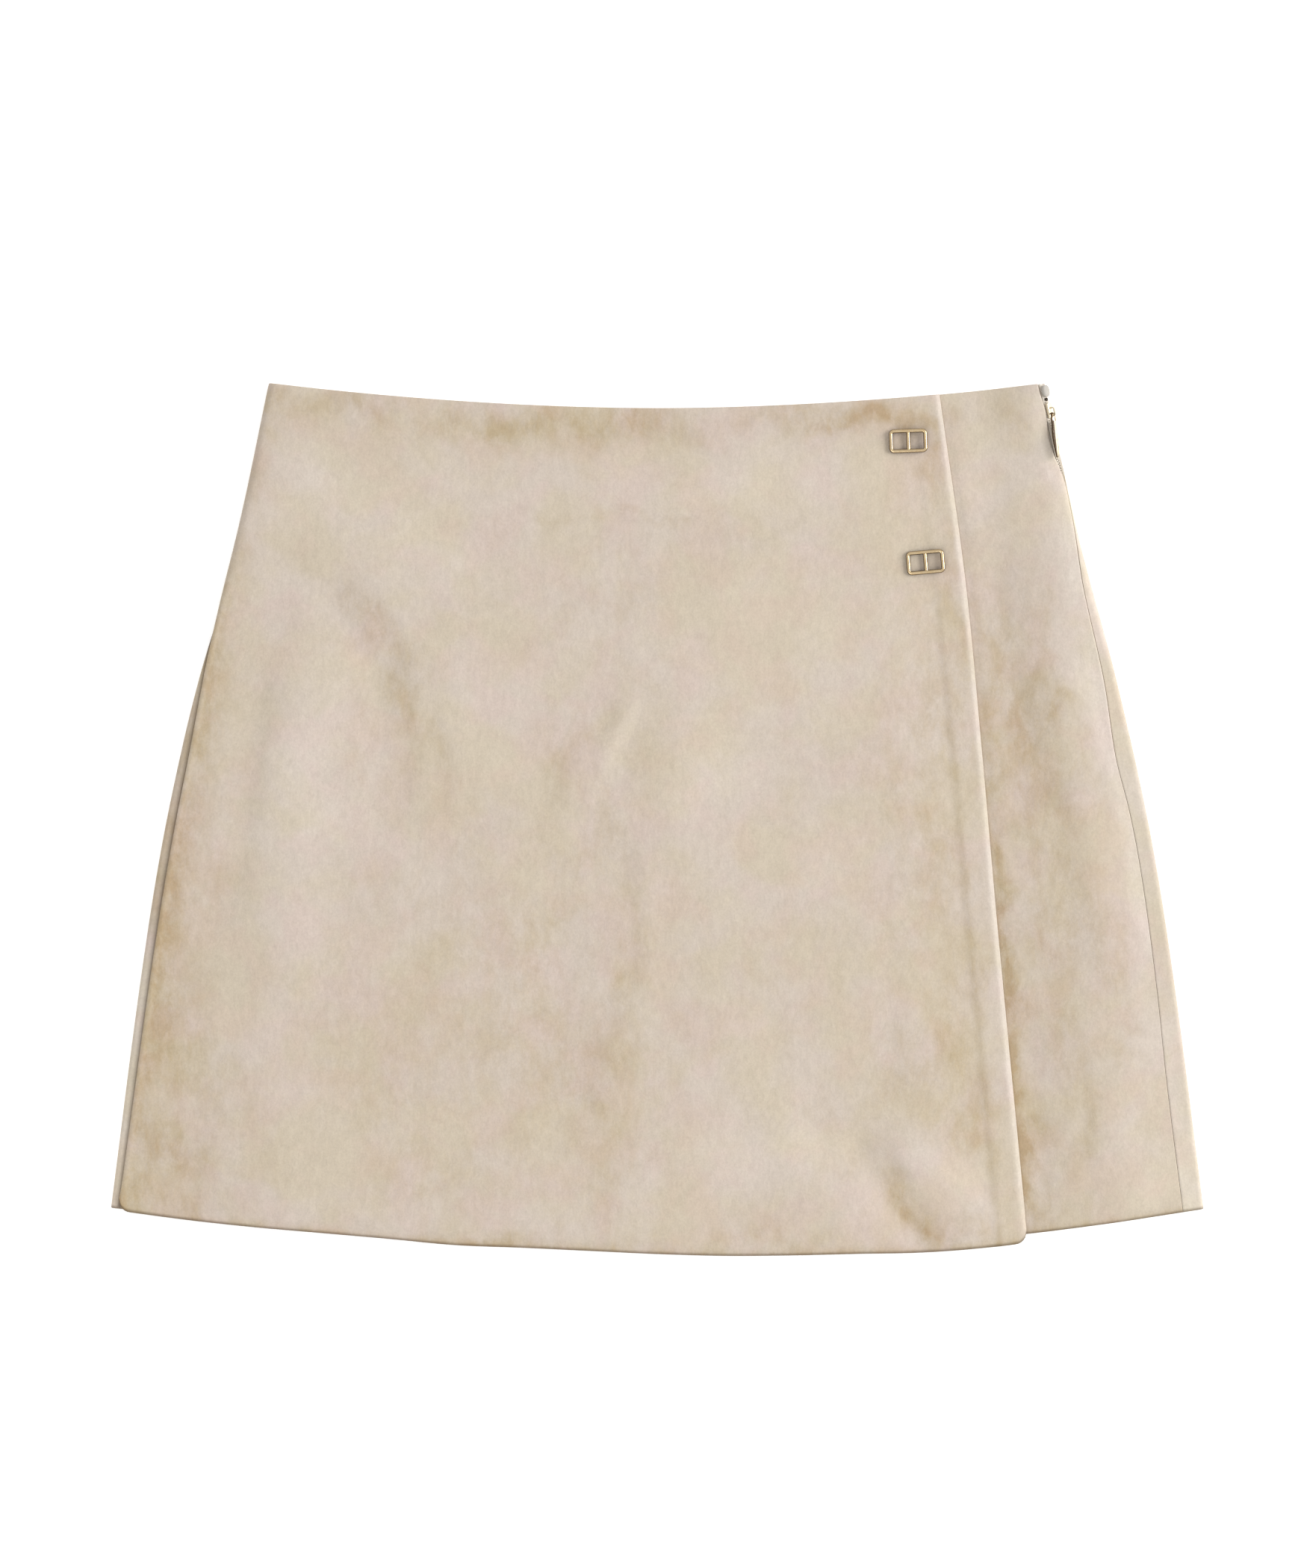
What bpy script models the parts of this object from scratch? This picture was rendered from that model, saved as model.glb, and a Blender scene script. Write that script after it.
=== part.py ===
"""A suede-cloth wrap skort, laid flat: shorts of four leg panels under a wrapped front panel.

Sizes are in millimetres and become metres when a mesh is made. X runs across the skort, Y up it
from hem to waist, and Z up from the surface that it lies on. A level is 0 at the waist and 1 at
the hem; a place round the side fold is a distance along the cloth from the top of the fold.
"""

import math

import bmesh
import bpy
from mathutils import Matrix, Vector

MM = 0.001

# ---- Driving sizes ---------------------------------------------------------------------------
CLOTH = 1.2  # wall of the suede cloth
GAP = 0.3  # between pieces at a seam, and between layers that lie on each other
SIDE_LENGTH = 368.0  # waist corner to hem corner, measured down the skort
WAIST_CORNER = 194.5  # height of the waist corners above the origin
WAIST_DIP = 11.2  # how far the middle of the waist lies below its corners
WAIST_BEND = 1.85
RISE = 0.70  # level of the crotch
LEG_GAP = 14.0  # between the two legs at the hem
FLAT_TOP = 1.5 * CLOTH + GAP  # middle of the front cloth where it lies on the back cloth
FOLD_RUN = 30.0  # width over which the front cloth comes down from the side folds
NOSE = 0.4  # how far a folded edge swells past its cloth
COVER_END = 4.0  # the wrap covers the left fold until its edge lies this far in
EDGE_TURN = 0.978  # sine of the turn round that fold at which the wrap's edge stops

# ---- The wrap's free edge, with cloth turned in behind it --------------------------------------
TURNED_EDGE = 13.0  # width of the cloth turned in
TURNED_STEP = 0.7  # how far that lifts the face of the wrap
TURNED_RUN = 4.0  # width of the slope up to it
TURNED_AT_WAIST = 0.25  # share of the step at the waist
TURNED_FULL_AT = 0.4  # level from which the step is whole
EDGE_ROUND = 3.0  # width over which the face rounds down at the edge
EDGE_DROP = 0.55  # and how far it comes down
CORNER = 4.5  # radius of the wrap's corners at the hem

# ---- Rows and columns of the cloth's faces -----------------------------------------------------
ROWS = 28
LEFT_COLUMNS = 12
OVERLAP_COLUMNS = 8
RIGHT_COLUMNS = 4
BACK_COLUMNS = 4
FOLD_COLUMNS = 7  # round a side fold
SEAM_COLUMNS = 4  # in the narrow strip beside a seam or a wrapped edge
TAPE_ROWS = 18
TAPE_COLUMNS = 6
NEAR_ENDS = 0.012  # levels between the waist or the hem and the row next to it
NEAR_FOLD = (0.0, 4.0, 9.0, 15.0, 22.0, 30.0)  # distances from the left fold
NEAR_OVERLAP = (0.0, 1.2, 4.0, TURNED_EDGE - 2.0, TURNED_EDGE + 2.0, 22.0)
PAST_OVERLAP = 4.0
RIGHT_RUN = (0.0, 4.0, 9.0, 16.0)  # distances from the right fold
SEAM_STRIP = 0.9  # width of that narrow strip
LEAST_STEP = 0.8  # least distance between columns next to it
MIDDLE_CLEAR = 8.0  # no column is closer than this to the middle seam

# Half width of the skort, by the distance below the waist corner.
SIDE_LINE = (
    # drop, half_width
    (0.0, 173.3),
    (66.0, 187.3),
    (133.0, 205.0),
    (200.0, 219.8),
    (266.0, 230.4),
    (368.0, 243.6),
)

# The wrap's hem, and the hem of the shorts, by the distance from the centre line.
WRAP_HEM = (
    # x, y
    (-244.0, -172.9),
    (-210.0, -177.5),
    (-180.0, -180.7),
    (-150.0, -183.3),
    (-120.0, -185.9),
    (-90.0, -188.7),
    (-60.0, -189.9),
    (-30.0, -191.3),
    (0.0, -192.7),
    (30.0, -193.5),
    (60.0, -193.3),
    (90.0, -192.6),
    (120.0, -192.0),
    (150.0, -189.6),
    (170.0, -187.0),
    (244.0, -176.0),
)
SHORTS_HEM = (
    # x, y
    (-244.0, -172.3),
    (-210.0, -175.8),
    (-150.0, -181.6),
    (-90.0, -186.4),
    (-30.0, -188.4),
    (30.0, -189.4),
    (90.0, -188.6),
    (130.0, -187.0),
    (165.0, -184.0),
    (200.0, -179.5),
    (220.0, -176.5),
    (244.0, -172.8),
)

# How far each side's edges lie inside the outline, and the radius of each side fold.
SIDE_SEAMS = (
    # drop, wrap_edge, left_seam, right_seam, left_radius, right_radius
    (0.0, 0.0, 0.0, 0.5, 1.1, 2.6),
    (60.0, 0.0, 0.0, 0.7, 1.1, 2.4),
    (92.0, 0.5, 1.5, 3.9, 1.1, 2.2),
    (134.0, 2.9, 6.5, 5.8, 1.1, 1.8),
    (165.0, 4.3, 9.0, 8.3, 1.1, 1.6),
    (190.0, 4.7, 9.0, 7.4, 1.1, 1.5),
    (215.0, 4.8, 9.0, 7.3, 1.1, 1.4),
    (269.0, 4.7, 9.0, 8.2, 1.1, 1.3),
    (310.0, 4.5, 9.0, 9.3, 1.1, 1.3),
    (368.0, 3.9, 9.0, 9.3, 1.1, 1.3),
)

# The wrap's free edge on the front.
OVERLAP = (
    # level, x
    (0.0, 125.1),
    (0.22, 136.6),
    (0.41, 143.6),
    (0.63, 151.0),
    (1.0, 164.4),
)

# How high the cloth stands off what lies under it, and over what widths it rises.
WRAP_LOFT = 2.8
WRAP_RISE = 66.0  # from its left side
FREE_RISE = 46.0  # from its free edge
LEG_LOFT = 2.3
LEG_RISE = 46.0  # from the wrap's free edge
LEG_FALL = 27.0  # down to the right side
LEG_STEP = 0.5  # the leg swells by this beside the wrap's edge
STEP_RUN = 5.0
SIDE_FLAT = 5.0  # flat beside the outline
FOLDS_FADE = 12.0  # width over which folds fade at a side or a free edge
WAIST_RISE = 26.0
HEM_RISE = 14.0
HEM_SHARE = 0.45
SETTLE = 0.5  # within this height of what is under it, cloth settles softly
SHORTS_SHARE = 0.5  # share of the wrap's relief that the shorts under it take up

# Ridges (height above 0) and troughs (below 0) that lift or press the cloth of the wrap.
WRAP_FOLDS = (
    # x1, y1, x2, y2, half_width, height
    (-143.0, 98.0, -125.0, 66.0, 10.0, -1.1),
    (-124.0, 62.0, -122.0, 6.0, 11.0, -1.3),
    (-160.0, 56.0, -168.0, -62.0, 16.0, 1.0),
    (-180.0, 60.0, -193.0, -40.0, 8.0, -0.35),
    (-16.0, 50.0, -38.0, 10.0, 7.5, 0.9),
    (5.0, 52.0, 7.0, -10.0, 18.0, 1.0),
    (-7.0, -20.0, -6.0, -78.0, 8.0, 0.7),
    (-46.0, -52.0, -42.0, -132.0, 15.0, -0.9),
    (90.0, -148.0, 120.0, -192.0, 7.0, -1.9),
    (54.0, -140.0, 84.0, -172.0, 13.0, 1.2),
    (113.0, -142.0, 142.0, -178.0, 9.0, 1.3),
    (-30.0, 172.0, -110.0, 175.0, 6.0, -0.7),
)

# The same for the leg that shows beside the wrap.
LEG_FOLDS = (
    # x1, y1, x2, y2, half_width, height
    (150.0, 112.0, 163.0, 10.0, 8.0, -0.75),
    (184.0, 60.0, 204.0, -60.0, 11.0, 0.7),
    (164.0, -96.0, 170.0, -166.0, 7.0, -0.8),
)

# The zip: how far it parts the side seam near the waist, and its hard parts.
ZIP_LENGTH = 172.0
ZIP_OPEN_TO = 24.0  # the lips stand fully apart down to here
ZIP_SHUT_FROM = 48.0  # and meet from here down
FRONT_LIP = -0.9  # place of the front lip round the fold, where they stand apart
LIP_PUSHED = 1.0  # how far the slider pushes it on
PUSHED_DROP = 12.5
PUSHED_RUN = 8.0
BACK_LIP_TURN = math.radians(120.0)  # turn of the fold at the back lip there
TAPE_THICK = 0.8
TAPE_REACH_TOP = 2.6  # half width of the zip tape at the waist, and below
TAPE_REACH = 1.3
HINGE_DROP = 13.5  # the pull's hinge, below the waist
HINGE_TILT = math.radians(33.0)  # of the slider's face above level
HINGE_OUT = 4.05  # the hinge, from the middle of the fold
SLIDER_SIZE = (3.8, 6.8, 1.4)  # across the zip, along it, and thick
SLIDER_BEVEL = 0.5
SLIDER_MIDDLE = -1.6  # along the zip from the hinge
SLIDER_BACK = 2.0  # its back, from the middle of the fold
PIN_RADIUS = 0.4
PIN_SIDES = 16
BRIDGE_ENDS = (-2.6, 1.0)  # along the zip from the hinge
BRIDGE_TOP = 1.0  # middle of the bridge, over the hinge
BRIDGE_WIDE = 1.0
BRIDGE_THICK = 0.7
PULL_THICK = 0.8
PULL_LEAN = math.radians(12.0)  # it hangs askew in its slack eye
PULL_EYE = (2.8, 3.4)  # width and length of the eye that the bridge passes through
PULL_OUTLINE = (
    # along, half_width
    (0.0, 2.2),
    (3.4, 2.2),
    (5.4, 2.1),
    (8.0, 2.4),
    (11.5, 2.5),
    (15.0, 2.05),
    (18.0, 1.35),
    (19.8, 0.75),
    (20.5, 0.0),
)

# The two metal slides on the wrap, where the real ones carry letters.
SLIDES = (
    # name, x, y, turn in degrees
    ("slide_upper", 111.7, 169.0, 2.0),
    ("slide_lower", 119.4, 115.0, 5.0),
)
SLIDE_SIZE = (17.0, 10.6, 1.6)
SLIDE_BAR = 1.7
SLIDE_BEVEL = 0.45

CUTTER_DEEP = 6.0  # depth of the shapes that cut the eye and the slides' windows
PROBE = 0.05  # step over which the cloth's slope is taken
ZIP_PROBE = 4.0  # and the zip's
HALVINGS = 40  # in the search for a level
SHARP_EDGE = math.radians(50)  # edges steeper than this look sharp


# ---- Small maths ------------------------------------------------------------------------------
def mix(a, b, t):
    return a + (b - a) * t


def ease(t):
    """0 to 1, level at both ends."""
    t = min(1.0, max(0.0, t))
    return t * t * (3.0 - 2.0 * t)


def along(table, at, column=1):
    """A smooth curve through one column of a table, by the table's first column."""
    rows = [(row[0], row[column]) for row in table]
    if at <= rows[0][0] or at >= rows[-1][0]:
        near, far = (rows[0], rows[1]) if at <= rows[0][0] else (rows[-2], rows[-1])
        return mix(near[1], far[1], (at - near[0]) / (far[0] - near[0]))
    i = max(k for k in range(len(rows) - 1) if rows[k][0] <= at)
    x0, y0 = rows[i]
    x1, y1 = rows[i + 1]

    def slope(k):
        low, high = rows[max(0, k - 1)], rows[min(len(rows) - 1, k + 1)]
        return (high[1] - low[1]) / (high[0] - low[0])

    t = (at - x0) / (x1 - x0)
    start, end = slope(i) * (x1 - x0), slope(i + 1) * (x1 - x0)
    cube, square = t**3, t**2
    return (
        (2 * cube - 3 * square + 1) * y0
        + (cube - 2 * square + t) * start
        + (3 * square - 2 * cube) * y1
        + (cube - square) * end
    )


def off_segment(x, y, x1, y1, x2, y2):
    """Distance from a point to a straight stretch."""
    dx, dy = x2 - x1, y2 - y1
    t = ((x - x1) * dx + (y - y1) * dy) / (dx * dx + dy * dy)
    t = min(1.0, max(0.0, t))
    return math.hypot(x - x1 - t * dx, y - y1 - t * dy)


# ---- The skort's lines ------------------------------------------------------------------------
def half_width(level):
    return along(SIDE_LINE, level * SIDE_LENGTH)


def seam(level, column):
    return max(0.0, along(SIDE_SEAMS, level * SIDE_LENGTH, column))


def waist_y(share):
    """Height of the waist edge at a share of the half width."""
    return WAIST_CORNER - WAIST_DIP * (1.0 - abs(share) ** WAIST_BEND)


def between_edges(x, level, hem):
    """Height of a point across a level, from the waist edge down to the given hem."""
    share = x / half_width(level)
    return mix(waist_y(share), along(hem, share * half_width(1.0)), level)


def shorts_y(x, level):
    return between_edges(x, level, SHORTS_HEM)


def wrap_y(x, level):
    return between_edges(x, level, WRAP_HEM)


def overlap_x(level):
    return along(OVERLAP, level)


def inner_edge(level):
    """Where a leg panel ends: at the middle seam, or at the inseam below the crotch."""
    below = max(0.0, (level - RISE) / (1.0 - RISE))
    return GAP / 2 + LEG_GAP / 2 * below


# ---- Relief -----------------------------------------------------------------------------------
def folds_sum(folds, x, y):
    return sum(
        height * math.exp(-((off_segment(x, y, x1, y1, x2, y2) / wide) ** 2))
        for x1, y1, x2, y2, wide, height in folds
    )


def settled(height):
    """A height that comes down softly to 0, where cloth lies on cloth."""
    if abs(height) >= SETTLE:
        return max(0.0, height)
    return (height + SETTLE) ** 2 / (4.0 * SETTLE)


def near_ends(level):
    """The share of the relief that is left near the waist and the hem."""
    to_waist = level * SIDE_LENGTH
    to_hem = SIDE_LENGTH - to_waist
    return ease(to_waist / WAIST_RISE) * ease(HEM_SHARE + to_hem / HEM_RISE)


def wrap_relief(x, y, level):
    """Height of the wrap's loft and folds, down to nothing at its side and its free edge."""
    from_side = x + half_width(level) - SIDE_FLAT
    to_edge = overlap_x(level) - x
    loft = WRAP_LOFT * ease(from_side / WRAP_RISE) * ease(to_edge / FREE_RISE)
    fade = ease(from_side / FOLDS_FADE) * ease(to_edge / FOLDS_FADE)
    return settled(loft + folds_sum(WRAP_FOLDS, x, y)) * fade * near_ends(level)


def leg_relief(x, y, level):
    """The same for the shorts: a share of what lies over them, and the visible leg's own."""
    from_edge = x - overlap_x(level)
    if from_edge < 0.0:
        return SHORTS_SHARE * wrap_relief(x, y, level)
    to_side = half_width(level) - x - SIDE_FLAT
    swell = ease(from_edge / STEP_RUN)
    loft = LEG_STEP * swell + LEG_LOFT * ease(from_edge / LEG_RISE)
    fade = swell * ease(to_side / LEG_FALL)
    return settled(loft + folds_sum(LEG_FOLDS, x, y)) * fade * near_ends(level)


# ---- The flattened tube of the shorts ---------------------------------------------------------
def fold(side, level):
    """(x, z, radius) of the middle of a side fold: side is -1 on the left and 1 on the right."""
    radius = seam(level, 4 if side < 0 else 5)
    covered = 0.0
    if side < 0:  # room for the wrap, where it covers the fold
        covered = (CLOTH + GAP) * (1.0 - ease(seam(level, 1) / COVER_END))
    return half_width(level) - radius - CLOTH / 2 - covered, radius + CLOTH / 2, radius


def top_height(side, x, level):
    """Middle of the front cloth at a distance x from the centre line, without relief."""
    fold_x, fold_z, radius = fold(side, level)
    lift = ease(1.0 + (x - fold_x) / FOLD_RUN)
    return mix(FLAT_TOP, fold_z + radius, lift)


def tube_point(side, place, level):
    """A point in the middle of the shorts' cloth: place 0 is the top of the side fold."""
    fold_x, fold_z, radius = fold(side, level)
    half_turn = math.pi * radius
    if place <= 0.0:
        x = fold_x + place
        z = top_height(side, x, level)
        z += leg_relief(side * x, shorts_y(side * x, level), level)
    elif place < half_turn:
        turn = place / radius
        x, z = fold_x + radius * math.sin(turn), fold_z + radius * math.cos(turn)
    else:
        x, z = fold_x - (place - half_turn), CLOTH / 2
    return Vector((side * x, shorts_y(side * x, level), z))


def place_of(side, level, inset):
    """The place round the fold that shows at a distance inside the outline."""
    fold_x, _, radius = fold(side, level)
    beyond = half_width(level) - inset - fold_x
    if beyond <= 0.0:
        return beyond
    return radius * math.asin(min(1.0, beyond / (radius + CLOTH / 2)))


def seam_places(side, level):
    """(front edge, back edge) of the cloth at a side seam, apart where the zip is."""
    middle = place_of(side, level, seam(level, 2 if side < 0 else 3))
    front, back = middle - GAP / 2, middle + GAP / 2
    if side < 0:
        return front, back
    drop = level * SIDE_LENGTH
    lip = FRONT_LIP + LIP_PUSHED * math.exp(-(((drop - PUSHED_DROP) / PUSHED_RUN) ** 2))
    shut = ease((drop - ZIP_OPEN_TO) / (ZIP_SHUT_FROM - ZIP_OPEN_TO))
    radius = fold(side, level)[2]
    return mix(lip, front, shut), mix(radius * BACK_LIP_TURN, back, shut)


# ---- The wrap ---------------------------------------------------------------------------------
def wrap_point(place, level):
    """A point in the middle of the wrap's cloth: place 0 is over the top of the left fold."""
    fold_x, fold_z, radius = fold(-1, level)
    radius += CLOTH + GAP
    corner = corner_rise(place, level)
    if place < 0.0:
        turn = -place / radius
        x, z = -fold_x - radius * math.sin(turn), fold_z + radius * math.cos(turn)
        return Vector((x, wrap_y(x, level) + corner, z))
    x = -fold_x + place
    y = wrap_y(x, level)
    side = -1 if x < 0.0 else 1
    z = top_height(side, abs(x), level) + CLOTH + GAP + wrap_relief(x, y, level)
    return Vector((x, y + corner, z))


def corner_rise(place, level):
    """How far the hem lifts beside the wrap's side edges, which makes its corners round."""
    to_hem = (1.0 - level) * SIDE_LENGTH
    near_hem = max(0.0, 1.0 - to_hem / (3 * CORNER))
    rise = 0.0
    for to_edge in (place - wrap_left(level), wrap_right(level) - place):
        short = CORNER - min(CORNER, max(0.0, to_edge))
        rise += CORNER - math.sqrt(CORNER**2 - short**2)
    return rise * near_hem


def wrap_left(level):
    """Place of the wrap's left edge: round the fold at the waist, on the shorts lower down."""
    fold_x, _, radius = fold(-1, level)
    beyond = half_width(level) - seam(level, 1) - fold_x
    if beyond <= 0.0:
        return -beyond
    radius += CLOTH + GAP
    return -radius * math.asin(min(EDGE_TURN, beyond / (radius + CLOTH / 2)))


def wrap_right(level):
    return overlap_x(level) + fold(-1, level)[0]


def turned_edge(to_edge, level):
    """How far the turned-in cloth lifts the wrap's face, by the distance to its free edge."""
    whole = TURNED_STEP * mix(TURNED_AT_WAIST, 1.0, ease(level / TURNED_FULL_AT))
    short = 1.0 - min(1.0, max(0.0, to_edge / EDGE_ROUND))
    drop = EDGE_DROP * (1.0 - math.sqrt(1.0 - short**2))
    return whole * ease((TURNED_EDGE - to_edge) / TURNED_RUN + 0.5) - drop


# ---- Cloth walls ------------------------------------------------------------------------------
def spread(start, end, count):
    """Even steps from start, left out, to end."""
    return [mix(start, end, (k + 1) / count) for k in range(count)]


def left_columns(level):
    """Distances across the front from the centre line to the top of the left fold."""
    fold_x = fold(-1, level)[0]
    return spread(0.0, fold_x - NEAR_FOLD[-1], LEFT_COLUMNS) + [
        fold_x - step for step in reversed(NEAR_FOLD[:-1])
    ]


def overlap_columns(level):
    """Distances across the front from the centre line to the wrap's free edge."""
    edge = overlap_x(level)
    return spread(0.0, edge - NEAR_OVERLAP[-1], OVERLAP_COLUMNS) + [
        edge - step for step in reversed(NEAR_OVERLAP[:-1])
    ]


def right_columns(level):
    """Distances across the front from just past the wrap's free edge to the right fold."""
    fold_x = fold(1, level)[0]
    start = overlap_x(level) + PAST_OVERLAP
    return [start] + spread(start, fold_x - RIGHT_RUN[-1], RIGHT_COLUMNS) + [
        fold_x - step for step in reversed(RIGHT_RUN[:-1])
    ]


def levels(*extra):
    """Levels from waist to hem, closer together near both."""
    even = {k / ROWS for k in range(ROWS + 1)}
    return sorted(even | {NEAR_ENDS, 1.0 - NEAR_ENDS, *extra})


def mesh_object(name, points, faces, material):
    """An object whose faces all point outwards."""
    mesh = bpy.data.meshes.new(name)
    mesh.from_pydata([point * MM for point in points], [], faces)
    shaped = bmesh.new()
    shaped.from_mesh(mesh)
    bmesh.ops.recalc_face_normals(shaped, faces=shaped.faces)
    bmesh.ops.triangulate(shaped, faces=shaped.faces)
    if shaped.calc_volume(signed=True) < 0.0:
        bmesh.ops.reverse_faces(shaped, faces=shaped.faces)
    shaped.to_mesh(mesh)
    shaped.free()
    made = bpy.data.objects.new(name, mesh)
    bpy.context.scene.collection.objects.link(made)
    mesh.materials.append(material)
    mesh.shade_smooth()
    mesh.set_sharp_from_angle(angle=SHARP_EDGE)
    return made


def cloth_wall(
    name, point, facing, rows, material, thick=CLOTH, inward=0.0, raised=None, soft=()
):
    """A wall of cloth. point(place, level) is its middle, facing is 1 where places run to the
    left on its outer face and -1 where they run to the right, and rows lists each level with
    its places. The wall lies inward by that much. raised(place, level) lifts its outer face,
    and the edges named in soft swell as a fold does."""
    outer, middle, inner = [], [], []
    for i, (level, places) in enumerate(rows):
        for j, place in enumerate(places):
            here = point(place, level)
            across = point(place + PROBE, level) - point(place - PROBE, level)
            down = point(place, level + PROBE / SIDE_LENGTH)
            down -= point(place, level - PROBE / SIDE_LENGTH)
            normal = across.cross(down).normalized() * facing
            here -= normal * inward
            swell = Vector((0.0, 0.0, 0.0))
            forward = across.normalized() * (1 if places[-1] > places[0] else -1)
            if j == 0 and "start" in soft:
                swell -= forward * NOSE
            if j == len(places) - 1 and "end" in soft:
                swell += forward * NOSE
            if i == len(rows) - 1 and "hem" in soft:
                swell += down.normalized() * NOSE
            if i == 0 and "waist" in soft:
                swell -= down.normalized() * NOSE
            lift = raised(place, level) if raised else 0.0
            outer.append(here + normal * (thick / 2 + lift))
            middle.append(here + swell + normal * lift / 2)
            inner.append(here - normal * thick / 2)
    wide, long = len(rows[0][1]), len(rows)
    count = wide * long
    faces = []
    for i in range(long - 1):
        for j in range(wide - 1):
            a = i * wide + j
            quad = (a, a + 1, a + wide + 1, a + wide)
            faces.append(quad)
            faces.append(tuple(k + count for k in reversed(quad)))
    rim = (
        [j for j in range(wide)]
        + [i * wide + wide - 1 for i in range(1, long)]
        + [(long - 1) * wide + j for j in range(wide - 2, -1, -1)]
        + [i * wide for i in range(long - 2, 0, -1)]
    )
    points = outer + inner
    noses = {k: len(points) + n for n, k in enumerate(rim)}
    points += [middle[k] for k in rim]
    for a, b in zip(rim, rim[1:] + rim[:1]):
        faces.append((b, a, noses[a], noses[b]))
        faces.append((noses[b], noses[a], a + count, b + count))
    return mesh_object(name, points, faces, material)


# ---- Panels -----------------------------------------------------------------------------------
def front_leg(name, side, material):
    """A front leg panel, from its middle edge to its side seam."""

    def point(place, level):
        return tube_point(side, place, level)

    rows = []
    for level in levels(RISE):
        columns = left_columns(level)
        if side > 0:
            columns = overlap_columns(level) + right_columns(level)
        fold_x = fold(side, level)[0]
        inner = inner_edge(level)
        edge = seam_places(side, level)[0]
        strip = min(edge, 0.0) - SEAM_STRIP
        kept = [x for x in columns[:-1] if x > MIDDLE_CLEAR]
        last = len(kept)
        flat = [min(x - fold_x, strip - LEAST_STEP * (last - k)) for k, x in enumerate(kept)]
        at_seam = [strip] + spread(strip, edge, SEAM_COLUMNS)
        rows.append((level, [inner - fold_x] + flat + at_seam))
    return cloth_wall(name, point, -side, rows, material, soft=("hem", "waist"))


def back_leg(name, side, material):
    """A back leg panel, from its side seam, round the side fold, to its middle edge."""

    def point(place, level):
        return tube_point(side, place, level)

    rows = []
    for level in levels(RISE):
        fold_x, _, radius = fold(side, level)
        start = seam_places(side, level)[1]
        half_turn = math.pi * radius
        arc_start = max(start + SEAM_STRIP / 2, 0.0)
        strip = [start, mix(start, arc_start, 0.5)]
        arc = [arc_start] + spread(arc_start, half_turn, FOLD_COLUMNS)
        flat_end = half_turn + fold_x - inner_edge(level)
        rows.append((level, strip + arc + spread(half_turn, flat_end, BACK_COLUMNS)))
    return cloth_wall(name, point, -side, rows, material, soft=("hem", "waist"))


def wrap_panel(name, material):
    """The wrap, from its left edge to its free edge."""
    rows = []
    for level in levels():
        fold_x = fold(-1, level)[0]
        edge = wrap_left(level)
        at_edge = [edge] + spread(edge, max(edge, 0.0) + SEAM_STRIP, SEAM_COLUMNS)
        across = [-x for x in reversed(left_columns(level)[:-1])] + [0.0]
        across += overlap_columns(level)
        rows.append((level, at_edge + [x + fold_x for x in across]))

    def raised(place, level):
        return turned_edge(wrap_right(level) - place, level)

    soft = ("start", "end", "hem", "waist")
    return cloth_wall(name, wrap_point, -1, rows, material, raised=raised, soft=soft)


def zip_tape(name, material):
    """The tape behind the opening of the zip."""

    def point(place, level):
        return tube_point(1, place, level)

    rows = []
    for k in range(TAPE_ROWS + 1):
        level = k / TAPE_ROWS * ZIP_LENGTH / SIDE_LENGTH
        middle = place_of(1, level, seam(level, 3))
        reach = mix(TAPE_REACH_TOP, TAPE_REACH, ease(level * SIDE_LENGTH / ZIP_SHUT_FROM))
        across = spread(middle - reach, middle + reach, TAPE_COLUMNS)
        rows.append((level, [middle - reach] + across))
    inward = CLOTH / 2 + GAP + TAPE_THICK / 2
    return cloth_wall(name, point, -1, rows, material, thick=TAPE_THICK, inward=inward)


# ---- Hard pieces ------------------------------------------------------------------------------
def zip_frame():
    """The slider's own axes at its hinge: X along the hinge, Y down the zip, Z outwards."""
    level = HINGE_DROP / SIDE_LENGTH
    step = ZIP_PROBE / SIDE_LENGTH

    def middle(at):
        fold_x, fold_z, _ = fold(1, at)
        return Vector((fold_x, shorts_y(fold_x, at), fold_z))

    down = (middle(level + step) - middle(level - step)).normalized()
    level_out = Vector((-down.y, down.x, 0.0)).normalized()
    outward = level_out * math.cos(HINGE_TILT) + Vector((0, 0, math.sin(HINGE_TILT)))
    outward = (outward - down * outward.dot(down)).normalized()
    hinge = down.cross(outward)
    axes = Matrix((hinge, down, outward)).transposed().to_4x4()
    return Matrix.Translation((middle(level) + outward * HINGE_OUT) * MM) @ axes


def block(name, size, centre, material=None, bevel=0.0, segments=2):
    """A box of the given size, with rounded edges."""
    x, y, z = (side / 2 for side in size)
    corners = [Vector((i * x, j * y, k * z)) for i in (-1, 1) for j in (-1, 1) for k in (-1, 1)]
    faces = [(0, 1, 3, 2), (4, 6, 7, 5), (0, 4, 5, 1), (2, 3, 7, 6), (0, 2, 6, 4), (1, 5, 7, 3)]
    mesh = bpy.data.meshes.new(name)
    mesh.from_pydata([(corner + Vector(centre)) * MM for corner in corners], [], faces)
    made = bpy.data.objects.new(name, mesh)
    bpy.context.scene.collection.objects.link(made)
    if material:
        mesh.materials.append(material)
    if bevel:
        rounded = made.modifiers.new("Rounded", "BEVEL")
        rounded.width = bevel * MM
        rounded.segments = segments
        rounded.limit_method = "NONE"
    return made


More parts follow.
